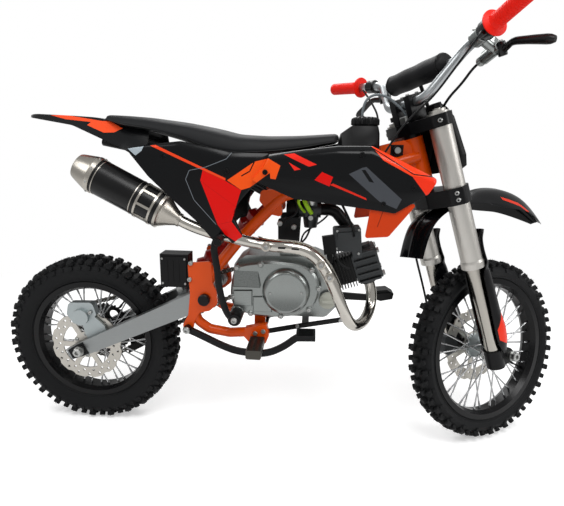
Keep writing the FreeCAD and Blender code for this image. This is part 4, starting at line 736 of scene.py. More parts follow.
sleeve = can(lathe([(0, 47), (40.5, 47), (42, 49), (42, 224), (0, 224)], 64))
cones = [can(lathe([(13.9, 0.4), (16, 0.4), (17, 12), (37, 42), (40, 46), (43, 47), (43, 53), (41, 54),
                    (39, 50), (13.9, 3)], 64)),
         can(lathe([(42, 216), (44, 216.5), (44, 227), (42.8, 228), (41.6, 234), (31, 264), (29, 268),
                    (27, 268), (26, 265), (22, 254), (21, 240), (0, 240), (0, 218)], 64))]
cage_rings = [can(lathe([(42.2, t), (44, t + 0.6), (44, t + 5.4), (42.2, t + 6)], 64)) for t in (62, 98)]
rods = []
for angle in np.radians(np.arange(0, 360, 45)):
    way = np.array((np.cos(angle), np.sin(angle), 0))
    across = np.array((-np.sin(angle), np.cos(angle), 0))
    route = [way * 42.9 + (0, 0, t) for t in (66, 82, 100)]
    rods.append(can(swept(route, 1.0, section=[(-0.9, -3), (0.9, -3), (0.9, 3), (-0.9, 3)], toward=across)))
straps = [can(lathe([(40.9, t), (42.9, t + 0.4), (42.9, t + 2.4), (40.9, t + 2.8)], 64))
          for t in (112, 208)]
sleeve_piece = build("silencer_sleeve", [sleeve], sleeve_paint)
cone_piece = build("silencer_cones", cones, brushed_steel)
cage_piece = build("silencer_cage", cage_rings + rods + straps, brushed_steel)
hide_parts("silencer")
rivet_ring, can_up = can_start + can_way * 222, np.array((0.4569, 0, 0.8895))
outwards = [can_up * np.sin(a) + np.array(L) * np.cos(a) for a in np.arange(8) * np.pi / 4 + 0.3]
fasteners("silencer_rivets", bolt_head, [(*rivet_ring + d * 44, *d, 2.6) for d in outwards])
shield_route = eased([(648, -150.5, 438), (634, -151, 472), (604, -151, 514), (566, -150, 535),
                      (500, -146, 536), (460, -121, 537.4)], 10)
bow = np.radians(np.linspace(-62, 62, 13))
bow_section = np.concatenate((np.column_stack((np.sin(bow), np.cos(bow))) * 17.6,
                              np.column_stack((np.sin(bow), np.cos(bow)))[::-1] * 16.2))
build("heat_shield", [swept(shield_route, 1.0, section=bow_section, toward=L)], polished_steel)
shield_bolts = [(632, -168.4, 474), (612, -168.6, 502), (488, -158.5, 537)]
bosses = lathe([(0, 2.4), (9, 2.4), (10.5, 1.4), (10.5, -3), (0, -3)], 24)
build("shield_bosses", [copies(bosses, np.array(shield_bolts), R)], brushed_steel)
fasteners("shield_bolts", bolt_head, [(x, y - 2.4, z, *R, 6) for x, y, z in shield_bolts])
# Painted shade: thin black strips on the heat shield stand for the shade inside its slots
slot_shade_strips = [swept([(x, -168.3, z), (x + 16, -168.5, z + dz)], 1.0,
                    section=[(-0.4, -2.2), (0.4, -2.2), (0.4, 2.2), (-0.4, 2.2)])
              for x, z, dz in ((516, 538, 0), (546, 537, -1))]
build("shield_slot_shade", slot_shade_strips, satin_black)

# Seat: foam on a moulded base under one stretched cover of grained vinyl, with a piped lower edge.

# Matt vinyl with a pressed leather grain of about 1.6 mm
seat_vinyl = moulded("grained black vinyl", "#0f1013", 0.55, 1.6, 0.12, shade=0.2, specular=0.25)
# x, top, side bottom, half width of the top, half width at the bottom
seat_table = np.array([(85, 822, 812, 40, 58), (140, 820, 794, 62, 88), (201, 816, 785, 72, 98),
                       (287, 806, 762, 78, 104), (351, 795, 735, 80, 108), (411, 781, 728, 80, 108),
                       (478, 778, 734, 72, 100), (551, 780, 745, 58, 82), (646, 787, 766, 42, 62)],
                      dtype=float)


def between(table, x, width):
    """Columns of a table at x, each the mean of straight readings over a width, to round its corners."""
    shifts = np.linspace(-width, width, 9)
    return [np.mean([np.interp(x + shift, table[:, 0], column) for shift in shifts], axis=0)
            for column in table[:, 1:].T]


def seat_skin():
    """Rings along the seat: y = half width * |cos|^0.5 and z between base and top * |sin|^0.6, crowned."""
    x = 85.3 + (646 - 85.6) * (1 - np.cos(np.linspace(0, np.pi, 96))) / 2
    top, low, half_top, half_low = between(seat_table, x, 16)
    v = circle(56)
    across = np.sign(np.cos(v)) * np.abs(np.cos(v)) ** 0.5
    rise = (np.sign(np.sin(v)) * np.abs(np.sin(v)) ** 0.62 + 1) / 2
    ends = np.clip(np.minimum(x - 85.2, 646.2 - x) / 13, 0, 1)
    ends = np.sqrt(1 - (1 - ends) ** 2)[:, None]
    half = half_low[:, None] + (half_top + 6 - half_low)[:, None] * rise
    height = (top - low)[:, None]
    y = half * across * (0.35 + 0.65 * ends)
    z = low[:, None] + height * (0.5 + (rise - 0.5) * ends) + 1.6 * np.cos(v - np.pi / 2) * (rise > 0.5)
    return np.stack((x[:, None] + 0 * y, y, np.minimum(z, top[:, None] + 1.5)), axis=2)


seat_rings = seat_skin()
cushion = build("seat_cushion", [solid(seat_rings)], seat_vinyl, crease=60)
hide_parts("seat")
edge_rows = [seat_rings[4:-4, 53] + (0, 0.6, -0.6), seat_rings[4:-4, 31] + (0, -0.6, -0.6)]
build("seat_piping", [swept(row, 1.7, sides=8) for row in edge_rows], hose_rubber)

# Bodywork: injection moulded ABS side panels, tank shrouds and tail, glossy black with red, orange and grey
# film laid on flat, and a pale painted reflection near the side panels' rear tips; a black moulded tank
# with a ribbed cap stands between the shrouds.

red, grey, black = "#d60a04", "#43464b", "#0b0c0e"
film = [side_zone(red, [(341, 701), (393, 679), (428, 659), (416, 621), (335, 678)]),
        side_zone(red, [(335, 678), (416, 621), (406, 587), (373, 579)]),
        side_zone(red, [(373, 579), (406, 587), (431, 552), (416, 539), (390, 556)]),
        side_zone("#ee5312", [(396, 680), (457, 722), (489, 730), (499, 703), (447, 665), (428, 659)]),
        side_zone("#ee5312", [(489, 730), (516, 715), (506, 685), (494, 686)]),
        side_zone("#e8431c", [(219, 753), (233, 754.5), (393, 685), (393, 679)]),
        # Painted reflection: this pale blue-grey patch at the side panel's rear tip stands in for light on
        # the gloss
        side_zone("#a9b4bb", [(165, 746), (205, 751), (200, 741), (184, 730)]),
        side_zone("#e9281c", [(522, 739), (545, 742), (596, 719), (578, 714)]),
        side_zone("#e9281c", [(533, 723), (561, 708), (547, 705)]),
        side_zone(red, [(591, 686), (607, 704), (631, 694), (624, 673)]),
        side_zone("#d9240e", [(624, 677), (632, 680), (703, 651), (705, 646)]),
        side_zone(grey, [(664, 701), (692, 715), (700, 717), (777, 651), (768, 630), (732, 644)]),
        side_zone(black, [(690, 710), (698, 711), (718, 684), (707, 686)]),
        side_zone("#f2401a", [(706, 764), (732, 756), (850, 697), (795, 699), (734, 731)]),
        side_zone("#ee3317", [(795, 699), (854, 697), (850, 680), (828, 658)])]


def pinstripe(colour, points, width):
    """Thin stripe zones: each run of the line, widened by half its width to both sides."""
    points = np.array(points, dtype=float)
    run = np.diff(points, axis=0)
    side = np.stack((-run[:, 1], run[:, 0]), axis=1) / np.linalg.norm(run, axis=1)[:, None] * width / 2
    quads = np.stack((points[:-1] + side, points[1:] + side, points[1:] - side, points[:-1] - side), axis=1)
    return [side_zone(colour, quad) for quad in quads.tolist()]


film += pinstripe("#6c7278", [(406, 741), (395, 727), (348, 708), (310, 700), (301, 680),
                              (319, 634), (370, 579)], 1.7)
film += pinstripe("#050506", [(457, 722), (447, 701), (428, 690)], 3.0)
film += pinstripe("#050506", [(478, 683), (560, 676), (640, 652), (730, 640)], 2.2)
film += pinstripe("#050506", [(700, 763), (735, 742), (797, 704), (852, 698)], 2.6)
# Gloss ABS under clear film: a sharp sheen over near-black, a faint waviness of the moulding, and a pale
# painted reflection at the side panels' rear tips
black_abs_painted_reflection = moulded("black ABS with film and painted reflection", black, 0.2, 9.0, 0.02, shade=0.15, zones=film)
tail_film = [side_zone("#ef4e22", [(-108, 819.5), (-12, 821), (103, 805), (51, 797), (-9, 810.5)]),
             side_zone("#ef4e22", [(103, 808), (137, 791), (120, 781), (97, 780), (51, 797), (60, 806)])]
# The tail's plastic, a little duller than the panels
tail_abs = moulded("black tail ABS with film", "#0c0d0f", 0.26, 9.0, 0.02, shade=0.15, zones=tail_film)
# Plastic dyed through: a plain warm orange with one darker line
orange_abs = moulded("orange ABS", "#cf3c08", 0.3, 6.0, 0.02, shade=0.12,
                     zones=pinstripe("#7c2103", [(748, 648), (731, 588)], 2.0))
dress(matt_polymer, "fuel_tank")
dress(orange_abs, "shroud_fins")


def panel_rings(upper, lower, plan, wall, bulge, crease_at, crease, shoulder):
    """Rings from lower edge to upper and back: y = plan + bulge * 4t(1-t) + ridge - shoulder * t^n."""
    steps, rows = 140, 30
    s = np.linspace(0, 1, steps + 1)
    edges = []
    for corners in (lower, upper):
        corners = np.array(corners, dtype=float)
        length = np.concatenate(([0], np.cumsum(np.linalg.norm(np.diff(corners, axis=0), axis=1))))
        stops = np.round(length / length[-1] * steps)
        drawn = np.stack([np.interp(np.arange(steps + 1), stops, column) for column in corners.T], axis=1)
        drawn[1:-1] = (drawn[:-2] + 2 * drawn[1:-1] + drawn[2:]) / 4
        edges.append(drawn)
    t = 1 - (1 - np.linspace(0, 1, rows)) ** 1.35
    flat = edges[0][:, None] * (1 - t)[None, :, None] + edges[1][:, None] * t[None, :, None]
    plan = np.array(plan, dtype=float)
    base = between(plan, flat[..., 0], 24)[0]
    ridge = np.maximum(0, 1 - np.abs(t - crease_at) / 0.3)[None] * crease * np.sin(np.pi * s)[:, None]
    full = base + bulge * (4 * t * (1 - t))[None] * np.sin(np.pi * s)[:, None] ** 0.7 + ridge
    fall = np.clip((t - 0.84) / 0.16, 0, 1)[None] ** 2
    full = full - shoulder * fall * np.clip(np.sin(np.pi * s) * 4, 0, 1)[:, None]
    outer = np.stack((flat[..., 0], full, flat[..., 1]), axis=2)
    inner = np.stack((flat[..., 0], full - wall, flat[..., 1]), axis=2)
    return sheet(outer, inner)


def sheet(outer, inner):
    """Closed rings of a thin wall, out along one face and back along the other."""
    return np.concatenate((outer, inner[:, ::-1]), axis=1)


def both_sides(rings):
    """The same part on the left and on the right."""
    return [solid(rings), solid(rings * (1, -1, 1))]


side_plan = [(140, 112), (215, 119), (300, 124), (380, 128), (430, 126), (460, 122), (500, 120)]
side_upper = [(162, 744), (212, 755), (290, 764), (400, 741), (490, 740), (500, 706), (449, 667),
              (424, 655), (409, 600), (430, 555), (428, 551)]
side_lower = [(162, 744), (212, 684), (278, 624), (329, 580), (364, 539), (384, 558),
              (408, 536), (428, 551)]
side_rings = panel_rings(side_upper, side_lower, side_plan, 3.0, 1.5, 0.62, 1.2, 7)
side_piece = build("side_covers", both_sides(side_rings), black_abs_painted_reflection)
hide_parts("side_panels")
shroud_plan = [(440, 131), (480, 131.5), (547, 136), (640, 146), (716, 154), (795, 166), (860, 168)]
shroud_upper = [(452, 682), (476, 712), (486, 738), (560, 749), (640, 759), (712, 760), (847, 696),
                (849, 690), (831, 664)]
shroud_lower = [(452, 682), (547, 643), (716, 626), (765, 620), (831, 664)]
shroud_rings = panel_rings(shroud_upper, shroud_lower, shroud_plan, 3.0, 2.0, 0.45, 2.2, 16)
shroud_piece = build("tank_shrouds", both_sides(shroud_rings), black_abs_painted_reflection)
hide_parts("shrouds")
post = lathe([(0, 0), (7, 0), (7, 60), (0, 60)], 16)
posts = [(250, 66, 731.6, 53), (395, 66, 693, 61), (570, 82, 705, 55), (690, 84, 745, 66)]
for number, (x, y, z, length) in enumerate(posts):
    rod_of_post = (post[0] * (1, 1, (length - 3) / 60), post[1])
    build("panel_post_" + str(number),
          [copies(rod_of_post, (x, s * (y + 1), z), (0, s, 0)) for s in (-1, 1)], matt_polymer)
panel_screws = [(250, 119.9, 731, 6), (395, 129.8, 700, 6), (482, 133.8, 700, 6), (690, 154.6, 742, 6),
                (740, 158.5, 640, 5), (800, 167.8, 676, 5)]
fasteners("panel_screws", bolt_head, mirrored(panel_screws), material=satin_black)

# x, top, side bottom, half width of the top, half width at the bottom
tail_table = np.array([(-122, 820.5, 817, 20, 26), (-88, 822, 812, 35, 44), (12, 818, 797, 45, 64),
                       (64, 815, 778, 52, 84), (85, 811.7, 770, 56, 90), (140, 793.7, 748, 62, 98),
                       (201, 784.7, 716, 70, 104)], dtype=float)
tail_x = np.linspace(-121.5, 200.5, 80)
top, low, half_top, half_low = between(tail_table, tail_x, 7)
across = np.concatenate((np.linspace(-1, -0.55, 7), np.linspace(-0.5, 0.5, 13), np.linspace(0.55, 1, 7)))
drop = np.clip((np.abs(across) - 0.5) / 0.5, 0, 1) ** 1.25
tip = np.clip((tail_x + 124) / 22, 0, 1)[:, None] ** 0.5
edge = np.abs(across) > 0.5
half = np.where(edge, half_top[:, None] + (half_low - half_top)[:, None] * drop, half_top[:, None])
y = np.where(edge, np.sign(across) * half, across / 0.5 * half_top[:, None]) * tip
crown = 1.5 * (1 - across ** 2)
z = top[:, None] + crown - (top - low)[:, None] * drop
wall = np.minimum(3.0, (top - low) * 0.4)[:, None]
outer = np.stack((tail_x[:, None] + 0 * y, y, z), axis=2)
inner = np.stack((tail_x[:, None] + 0 * y, y * (1 - wall / 60),
                  z - wall * np.where(edge, 1 - 0.8 * drop, 1)), axis=2)
tail_piece = build("tail_moulding", [solid(sheet(outer, inner))], tail_abs, crease=40)
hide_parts("tail")

ribs = 18
a = circle(144)
rib = 1 + 0.045 * np.clip(np.cos(a * ribs) * 2, -1, 1)
cap_profile = [(0.001, 22), (20, 22), (27, 21), (31, 18), (32.4, 14), (32.4, 4), (30, 2),
               (29, -5), (0.001, -5)]
cap_rings = [np.stack((r * np.cos(a) * (rib if r > 30 else 1), r * np.sin(a) * (rib if r > 30 else 1),
                       h + 0 * a), axis=1) for r, h in cap_profile]
cap_piece = build("tank_cap",
                  [copies(solid(cap_rings), (708, 0, 806.3), U),
                   turned([(0, 9), (5, 9), (6, 6), (6, 0), (0, 0)], (700, 0, 822), U, 20)], matt_polymer)
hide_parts("fuel_cap")

# Battery box lid, switch and small black fittings: moulded parts screwed to the frame.

lid = [slab_on((222, -95, 455), F, U, R, [(3, -37), (66, -37), (66, 37), (3, 37)], 1.6)]
lid += [slab_on((222, -96.4, 455), F, U, R, [(x, -28), (x + 4, -28), (x + 4, 28), (x, 28)], 1.2)
        for x in (16, 30, 44)]
build("battery_lid", lid, matt_polymer)
fasteners("battery_screws", bolt_head,
          [(228, -96, 486, *R, 3), (284, -96, 486, *R, 3), (228, -96, 424, *R, 3), (284, -96, 424, *R, 3)])
key = [turned([(0, 12), (9, 12), (11, 10), (11, -4), (0, -4)], (784, -22, 752), R, 24),
       slab_on((784, -19, 752), F, U, R, [(-15, -15), (15, -15), (15, 13), (-15, 13)], 3)]
build("key_switch", key, satin_black)
build("key_slot", [turned([(0, 1), (7, 1), (7.6, 0), (0, 0)], (784, -34, 752), R, 24)], zinc_steel)
coil_way, coil_up = (0.985, 0, 0.17), (-0.17, 0, 0.985)
coil = slab_on((632, -58, 528), coil_way, coil_up, R, [(-15, -22), (15, -22), (15, 22), (-15, 22)], 18)
strap = slab_on((632, -38, 512), coil_way, coil_up, R, [(-7, -34), (7, -34), (7, 22), (-7, 22)], 22,
                bevel=1)
build("ignition_coil", [coil, strap], matt_polymer)
hose("coil_lead", [(640, -70, 512), (652, -76, 494), (664, -76, 478), (684, -70, 470)], 6, hose_rubber)
dress(satin_black, "gear_lever")
b = circle(20)
crank_route = eased([(412, -135, 352), (396, -135, 356), (377, -135, 420), (372, -135, 480),
                     (364, -136, 524), (372, -137, 548), (386, -138, 552)], 10)
crank = swept(crank_route, 1.0, section=np.column_stack((np.cos(b) * 8.2, np.sin(b) * 5)), toward=L)
kick_parts = [crank,
              turned([(0, 0), (15, 0), (16, 2), (16, 36), (14, 40), (0, 40)], (412, -101, 352), R, 32),
              turned([(0, 0), (8, 0), (8, 42), (6.5, 44), (0, 44)], (380, -130, 546), R, 24)]
kick_piece = build("kick_crank", kick_parts, satin_black)
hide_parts("kick_starter")
arm_route = eased([(289, -108, 311), (310, -108, 303), (392, -108, 263), (440, -108, 255), (488, -108, 255),
                   (530, -108, 276), (562, -108, 304), (584, -110, 314)], 8)
arm_section = [(-8, -4), (8, -4), (8, 4), (-8, 4)]
tread = slab_on((560, -104, 311), (1, 0, 0.02), L, U,
                [(0, -46), (6, -46), (46, -44), (46, 4), (0, 4)], 12)
pedal_piece = build("rear_brake_lever", [swept(arm_route, 1.0, section=arm_section, toward=L), tread,
                                         turned([(0, 0), (10, 0), (10, 14), (0, 14)],
                                                (289, -101, 311), R, 24)], satin_black)
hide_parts("brake_pedal")
grip_bar = lathe([(0, 0), (10.5, 0), (10.5, 4), (9, 5), (10.5, 6), (10.5, 12), (9, 13), (10.5, 14),
                  (10.5, 20), (9, 21), (10.5, 22), (10.5, 28), (0, 29)], 20)
build("kick_rubber", [copies(grip_bar, (380, -142, 546), R)], hose_rubber)
pad_ribs = [slab_on((566, -112.0 - 6 * i, 322.6), (1, 0, 0.02), L, U,
                    [(0, -1.4), (34, -1.4), (34, 1.4), (0, 1.4)], 2.0) for i in range(6)]
build("pedal_rubber", pad_ribs, hose_rubber)
rubber = [(766, 360), (808, 365), (827, 354), (824, 338), (792, 331), (766, 337)]
build("shift_rubber", [slab_on((0, 109, 0), F, U, L, rubber, 43, bevel=3)], hose_rubber)
rail_sides = [(440, 278), (440, 290), (560, 317), (690, 343.5), (690, 332), (560, 305)]
rails = [slab_on((0, s * 56, 0), F, U, (0, s, 0), rail_sides, 5) for s in (-1, 1)]
rails += [slab_on((x, 0, z), (0.977, 0, 0.213), L, (-0.213, 0, 0.977),
                  [(-9, -57), (9, -57), (9, 57), (-9, 57)], 3)
          for x, z in ((470, 285.5), (580, 310), (678, 331))]
rail_piece = build("skid_rails", rails, satin_black)
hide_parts("skid_plate")
teeth = [slab_on((x, s * y, 297), F, L, U, [(0, -1.3), (5, -1.3), (5, 1.3), (0, 1.3)], 4.0, bevel=0.6)
         for x in (447, 461, 475) for y in np.arange(112, 184, 9) for s in (-1, 1)]
build("footpeg_teeth", teeth, oiled_steel)
fasteners("control_bolts", bolt_head, [(412, -141, 352, *R, 8), (289, -115, 311, *R, 9),
                                       (590, 114, 346, *L, 6)])
fasteners("linkage_bolts", bolt_head, mirrored([(460, 61, 290, 5), (560, 61, 313, 5), (668, 61, 333, 5)]))

# Upside-down fork: clear anodised outer tubes in black clamps, chromed sliders behind black moulded guards,
# a cast brake calliper, and a glossy moulded fender and plate.

# Anodised tube: silky pale bands along the leg
fork_alloy = worked_metal("clear anodised aluminium", "#d2cfc9", 0.42, 1.2, 0.01, stretch=(1, 1, 0.1))
# Hard chrome: a white line hard beside a dark one
hard_chrome = worked_metal("hard chrome", "#b9b5ad", 0.2, 2.0, 0.005)
dress(fork_alloy, "fork_outer_tubes")
dress(hard_chrome, "fork_inner_tubes")
# Bead blasted casting under a clear lacquer: pale, faintly blue, with a soft broad sheen
pale_casting = worked_metal("blasted aluminium casting", "#b7bfc0", 0.45, 1.0, 0.08)
dress(pale_casting, "calliper_rear")
dress(dark_casting, "calliper_front")
shell = lathe([(20, -21), (30, -19), (30.5, -12), (25, -2), (25, 4), (32, 16), (34, 22),
               (34, 28), (20, 28)], 48)
build("front_hub_shell", [copies(shell, (0, 0, 0), L)], pale_casting, fork, "wheel_front")
dress(satin_black, "upper_clamp", "lower_clamp", "bar_clamps", "axle_lugs")


def fork_zone(colour, across, up, corners):
    """Zone drawn in the fork's frame, in millimetres from the front axle."""
    across, up = fork_basis[across], fork_basis[up]
    shift = np.array((front_axle @ across, front_axle @ up))
    return colour, tuple(across), tuple(up), np.array(corners, dtype=float) * MM + shift


flash = [fork_zone("#ea3218", 0, 2, [(2, 140), (16, 92), (6, 60), (-16, 45), (-38, 64),
                                     (-38, 92), (-20, 114)])]
# Guard plastic: dark gloss with an orange flash at the foot
guard_abs = moulded("black guard ABS with film", "#0a0a0c", 0.24, 6.0, 0.02, shade=0.15, zones=flash,
                    side=fork_left, middle=float(front_axle @ fork_left))
# height, outer edge and inner edge of the wrap in degrees from the front, swell of the front
guard_table = np.array([(338, 20, -20, 15), (334, 30, -28, 13), (322, 42, -36, 7), (296, 46, -38, 5),
                        (268, 50, -40, 7), (252, 66, -70, 11), (238, 86, -118, 15), (210, 90, -128, 17),
                        (130, 92, -130, 19), (86, 96, -130, 24), (56, 94, -128, 22), (40, 86, -110, 17),
                        (25, 72, -80, 12)], dtype=float)
level = np.linspace(25, 338, 90)
wide_out, wide_in, swell = between(guard_table[::-1], level, 8)
sweep_share = np.linspace(0, 1, 41)
angle = np.radians(wide_in[:, None] + (wide_out - wide_in)[:, None] * sweep_share)
lean = 4 * np.clip((level - 318) / 20, 0, 1) ** 2
reach = 23.5 + 6 * np.clip((level - 246) / 16, 0, 1)[:, None] + swell[:, None] * np.cos(angle / 2) ** 5


def guard_side(reach):
    """Wrap around the leg: x = leg + r cos a + lean, y = leg + r sin a, for a from inner to outer edge."""
    return np.stack((-40.3 + reach * np.cos(angle) + lean[:, None], 71 + reach * np.sin(angle),
                     level[:, None] + 0 * angle), axis=2)


guard_rings = sheet(guard_side(reach), guard_side(reach - 2.4))
guard_piece = build("leg_guards", both_sides(guard_rings), guard_abs, fork, "steering", crease=40)
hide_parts("fork_guards")
clamp_bolts = [(-58.5, s * 92.5, z, -0.757, s * 0.654, 0, 5.5) for s in (-1, 1) for z in (430, 446, 614)]
fasteners("clamp_bolts", bolt_head, clamp_bolts, fork, "steering")
fasteners("bar_clamp_bolts", bolt_head,
          [(-58 + x, y, 688.3, 0, 0, 1, 4.5) for x in (-14, 14) for y in (-26, 26)], fork, "steering")
fasteners("fork_caps", hex_nut, [(-40.3, s * 71, 641, 0, 0, 1, 13) for s in (-1, 1)], fork, "steering",
          material=satin_black)
fasteners("stem_nut", hex_nut, [(-64.4, 0, 628.4, 0, 0, 1, 19)], fork, "steering")
fasteners("guard_bolts", bolt_head, [(-20, s * 93, 38, 0.3, s, 0, 3.6) for s in (-1, 1)], fork, "steering")
fasteners("calliper_bolts", bolt_head, [(-50, 49, 10, *L, 5), (-62, 49, 40, *L, 5)], fork, "steering")
fasteners("rear_calliper_bolts", bolt_head, [(-14, -71, 96, *R, 5), (22, -71, 96, *R, 5)], rear_wheel)

# x, z of the crown line, half width, drop of the sides
fender_table = np.array([(-160, 320, 42, 4), (-132, 370, 44, 8), (-90, 402, 44, 8), (-20, 412, 43, 6),
                         (30, 414, 62, 16), (100, 416, 66, 50), (180, 388, 62, 55), (248, 332, 48, 34),
                         (296, 256, 16, 8)], dtype=float)
line = eased(fender_table, 9)
slope = np.arctan2(np.gradient(line[:, 1]), np.gradient(line[:, 0]))
across = np.linspace(-1, 1, 31)
fall = -line[:, 3:] * np.abs(across) ** 2.6 + 2.5 * np.exp(-(across / 0.12) ** 2)
skin_depth = 3.0 * (1 - 0.75 * np.abs(across) ** 6)


def fender_side(height):
    """Points square to the crown line: x = x0 - h sin(slope), z = z0 + h cos(slope)."""
    return np.stack((line[:, :1] - height * np.sin(slope)[:, None], across * line[:, 2:3],
                     line[:, 1:2] + height * np.cos(slope)[:, None]), axis=2)


fender_skin = sheet(fender_side(fall), fender_side(fall - skin_depth))
fender_posts = [turned([(0, 0), (7, 0), (7, 9.6), (0, 9.6)], (x, y, 408), U, 16) for x in (-34, -12)
                for y in (-22, 22)]
mark = [fork_zone("#d8361e", 0, 2, [(122, 383), (178, 348), (177, 339), (122, 374)]),
        fork_zone("#d8361e", 0, 2, [(178, 348), (212, 314), (208, 308), (177, 339)])]
# Gloss moulded plastic: mirror-like streaks of the lamps on near-black
grey_abs = moulded("dark gloss ABS", "#0a0b0d", 0.16, 12.0, 0.02, shade=0.1, specular=0.16, zones=mark,
                   side=fork_left, middle=float(front_axle @ fork_left))
fender_piece = build("front_fender", [solid(fender_skin)] + fender_posts, grey_abs, fork,
                     "steering", crease=40)
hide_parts("fender_front")
height = np.linspace(486, 652, 48)
wide = np.interp(height, (486, 496, 522, 612, 636, 648, 652), (56, 80, 86, 76, 62, 48, 42))[:, None]
share = np.linspace(-1, 1, 45)
lip = np.clip((np.abs(share) - 0.86) / 0.14, 0, 1)
face_x = 9 - 7 * np.clip(np.abs(share) / 0.86, 0, 1) ** 2 - 13 * lip
face_y = wide * np.clip(share / 0.86, -1, 1) * (1 - 0.015 * lip)
plate_face = np.stack((face_x + 0 * wide, face_y, height[:, None] + 0 * face_y), axis=2)
plate_back = np.stack((face_x - 2.6 + 0 * wide, face_y * 0.972, height[:, None] + 0 * face_y), axis=2)
hook = swept([(6, 0, 638), (3, 0, 660), (-1, 0, 694), (-3, 0, 706)], 4.5, sides=14)
plate_piece = build("front_plate", [solid(sheet(plate_face, plate_back)), hook], matt_polymer, fork,
                    "steering", crease=40)
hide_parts("number_plate")

# Handlebar: a satin aluminium bar with a padded crossbar, soft orange grips, a silver brake master cylinder
# on the right, and black levers.

# Anodised bar: even silver with a soft sheen
bar_alloy = worked_metal("satin anodised bar", "#b3b7b9", 0.32, 1.0, 0.01)
# Soft grip rubber: full colour with almost no shine
orange_rubber = moulded("orange soft rubber", "#f21c0a", 0.45, 1.2, 0.1, shade=0.08)
# Cover of the pad: matt black with a fine weave
pad_cover = moulded("black pad cover", "#0d0d10", 0.55, 1.1, 0.14, shade=0.2)
dress(bar_alloy, "handlebar")
pad_t = np.linspace(-1, 1, 61)
v = circle(48)
pad_r = 24.5 * (1 - 0.02 * np.cos(3 * np.pi * pad_t)) * np.clip(1 - np.abs(pad_t) ** 24, 0.02, 1) ** 0.5
round_pad = 1 + 0.03 * np.cos(4 * v)
pad_rings = np.stack((-6 + pad_r[:, None] * np.cos(v) * round_pad, 99 * pad_t[:, None] + 0 * v,
                      727 + pad_r[:, None] * np.sin(v) * round_pad), axis=2)
pad_piece = build("crossbar_pad", [solid(pad_rings)], pad_cover, fork, "steering", crease=50)
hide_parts("bar_pad")
for end in (-86, 86):
    ring = [(-6 + 25.1 * np.cos(b), end, 727 + 24.9 * np.sin(b)) for b in np.linspace(0, 2 * np.pi, 40)]
    build("pad_seam_" + ("right" if end < 0 else "left"), [swept(ring, 0.8, sides=6, toward=L)],
          hose_rubber, fork, "steering")
bar_tip, bar_bend = np.array((-13.0, 338.0, 788.0)), np.array((5.0, 142.0, 740.0))
bar_way = (bar_tip - bar_bend) / np.linalg.norm(bar_tip - bar_bend)


def on_bar(hand, back, x=0.0, z=0.0):
    """Point so far back from the tip of the bar, moved forward by x and up by z."""
    place = (bar_tip - bar_way * back) * (1, hand, 1)
    return place + (x, 0, z)


grip_profile = [(11.4, -0.5), (11.4, -2.5), (15, -3), (16, -1)]
for rib_place in np.arange(6, 102, 6.0):
    grip_profile += [(16, rib_place), (15.1, rib_place + 0.8), (15.1, rib_place + 2.0),
                     (16, rib_place + 2.8)]
grip_profile += [(16, 104), (17.5, 110), (24, 113), (27, 114.5), (27, 117), (25.5, 118), (11.4, 118)]
grip = lathe(grip_profile, 40)
grips = [copies(grip, on_bar(s, 0), bar_way * (-1, -s, -1)) for s in (-1, 1)]
ends = [turned([(0, 4.6), (8, 4), (10.8, 2), (10.8, 0), (0, 0)], on_bar(s, -0.2), bar_way * (1, s, 1), 24)
        for s in (-1, 1)]
grip_piece = build("hand_grips", grips + ends, orange_rubber, fork, "steering", crease=32)
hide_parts("grips")


def perch(hand):
    """Clamp ring round the bar and the short arm that carries the lever."""
    return [turned([(11.3, -1), (16, -1), (17, 0), (17, 22), (16, 23), (11.3, 23)], on_bar(hand, 172),
                   bar_way * (1, hand, 1), 32),
            swept([on_bar(hand, 161, 10, -10), on_bar(hand, 160, 24, -24), on_bar(hand, 158, 34, -34)],
                  [10, 9, 10], 16)]


master = perch(-1) + [turned([(0, 0), (9, 0), (10, 2), (10.5, 12), (12, 14), (12, 50), (9.5, 52),
                              (9.5, 60), (0, 62)], on_bar(-1, 206, 34, -34), bar_way * (1, -1, 1), 32)]
reservoir_foot = on_bar(-1, 176, 42, -28)
reservoir = slab_on(reservoir_foot, bar_way * (1, -1, 1), (0.7, 0, -0.7), (0.6, 0.2, 0.75),
                    [(-20, -12), (20, -12), (20, 12), (-20, 12)], 17)
master_piece = build("master_cylinder", master + [reservoir], case_paint, fork, "steering")
lid_bolts = [(*reservoir_foot + bar_way * (u, -u, u) + np.array((0.62, 0.2, 0.76)) * 17, 0.6, 0.2, 0.75, 3)
             for u in (-15, 15)]
fasteners("reservoir_screws", bolt_head, lid_bolts, fork, "steering")
housing = [turned([(11.3, 0), (19, 0), (20, 1.5), (20, 22), (18, 23.5), (11.3, 23.5)], on_bar(-1, 142),
                  bar_way * (1, -1, 1), 40),
           swept([on_bar(-1, 131, -14, -6), on_bar(-1, 132, -22, -8), on_bar(-1, 138, -24, -10)],
                 [7, 6, 4.5], 14)]
left_perch = perch(1) + [swept([on_bar(1, 178, 34, -34), on_bar(1, 158, 36, -36), on_bar(1, 142, 38, -39)],
                               [7, 9, 9], 16)]
b = circle(16)
oval = np.stack((np.cos(b) * 0.62, np.sin(b)), axis=1)
blades = []
for s in (-1, 1):
    route = eased([on_bar(s, 150, 38, -42), on_bar(s, 130, 36, -44), on_bar(s, 112, 33, -42),
                   on_bar(s, 88, 34, -54), on_bar(s, 56, 36, -71), on_bar(s, 22, 36, -90)], 8)
    broad = np.interp(np.linspace(0, 1, len(route)), (0, 0.12, 0.3, 0.7, 0.96, 1), (8.5, 8, 7.2, 8, 9.6, 6))
    blades.append(swept(route, broad, section=oval))
    blades.append(turned([(0, 14), (8, 14), (9, 12), (9, -12), (8, -14), (0, -14)],
                         on_bar(s, 144, 38, -40), U, 24))
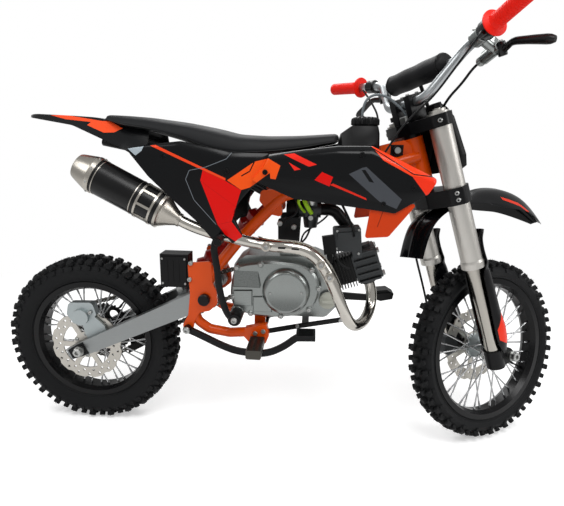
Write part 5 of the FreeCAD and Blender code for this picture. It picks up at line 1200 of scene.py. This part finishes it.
# Sprayed lever black: satin with a hard edge of light
lever_black = moulded("black lever paint", "#0a0a0b", 0.26, 1.5, 0.02, specular=0.4)
lever_piece = build("lever_blades", blades + housing + left_perch, lever_black, fork, "steering")
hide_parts("levers")
fasteners("lever_bolts", bolt_head, [(*on_bar(s, 144, 38, -40) + (0, 0, 14), 0, 0, 1, 5) for s in (-1, 1)]
          + [(*on_bar(s, 161, -8, 15), -0.3, 0, 1, 4) for s in (-1, 1)]
          + [(*on_bar(-1, 126, 22, 4), 1, 0, 0.1, 3.5)], fork, "steering")

# Cables and hoses: black sheathed control cables and the tank's breather between bars and frame, and the
# front brake's hose down the left leg; each lies on the line of its tube.


def bars(points):
    """Drawn points of the fork's frame, as millimetres from the rear axle and the ground."""
    return fork(points) / MM + seat_point


perch_end = [on_bar(-1, back, 34, -34) for back in (206.3, 226)]
brake_line = hose("brake_line", perch_end + [(16, -104, 676), (-10, -84, 656), (0, -44, 634), (3, 0, 580),
                                             (0, 34, 520), (-4, 72, 462), (-12, 102, 410), (-44, 112, 352),
                                             (-54, 112, 280), (-56, 110, 200), (-62, 106, 130),
                                             (-78, 98, 80), (-80, 84, 44), (-78, 69, 30), (-78, 49, 30)], 6,
                  hose_rubber, fork, "steering")
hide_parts("brake_hose")
throttle = np.concatenate((bars([(-18, -198, 748), (-36, -146, 710), (-62, -96, 668), (-92, -62, 646),
                                 (-118, -30, 622)]),
                           [(752, -58, 748), (722, -72, 704), (680, -72, 684), (636, -70, 660),
                            (590, -54, 630), (590, -19.3, 630)]))
clutch = np.concatenate((bars([(-18, 198, 748), (-40, 146, 706), (-66, 100, 660)]),
                         [(742, 86, 790), (712, 88, 736), (684, 84, 690), (662, 80, 630), (630, 76, 574),
                          (590, 70, 546), (560, 68, 524), (560, 68, 495.3)]))
stem_line = bars([(-64.4, 0, 650), (-64.4, 0, 634.3)])
vent = np.concatenate(([(700, 0, 828.3), (700, 0, 858), (720, -3, 880), (752, -3, 878), (782, 0, 856)],
                       stem_line))
lines = [hose(name, points, size, hose_rubber, ground, None)
         for name, points, size in (("throttle_cable", throttle, 5), ("clutch_cable", clutch, 5),
                                    ("tank_breather", vent, 6))]
# Hose gone grey: a pale line across the dark parts
grey_tube = moulded("grey breather tube", "#70777b", 0.35, 2.0, 0.02, shade=0.1)
lines[2].data.materials[0] = grey_tube
for line_piece in lines:
    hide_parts("cables")
spans = [(throttle[3], throttle[6]), (clutch[2], clutch[4]), (vent[-3], vent[-2])]
for line_piece, (near, far) in zip(lines, spans):
    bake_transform(line_piece)
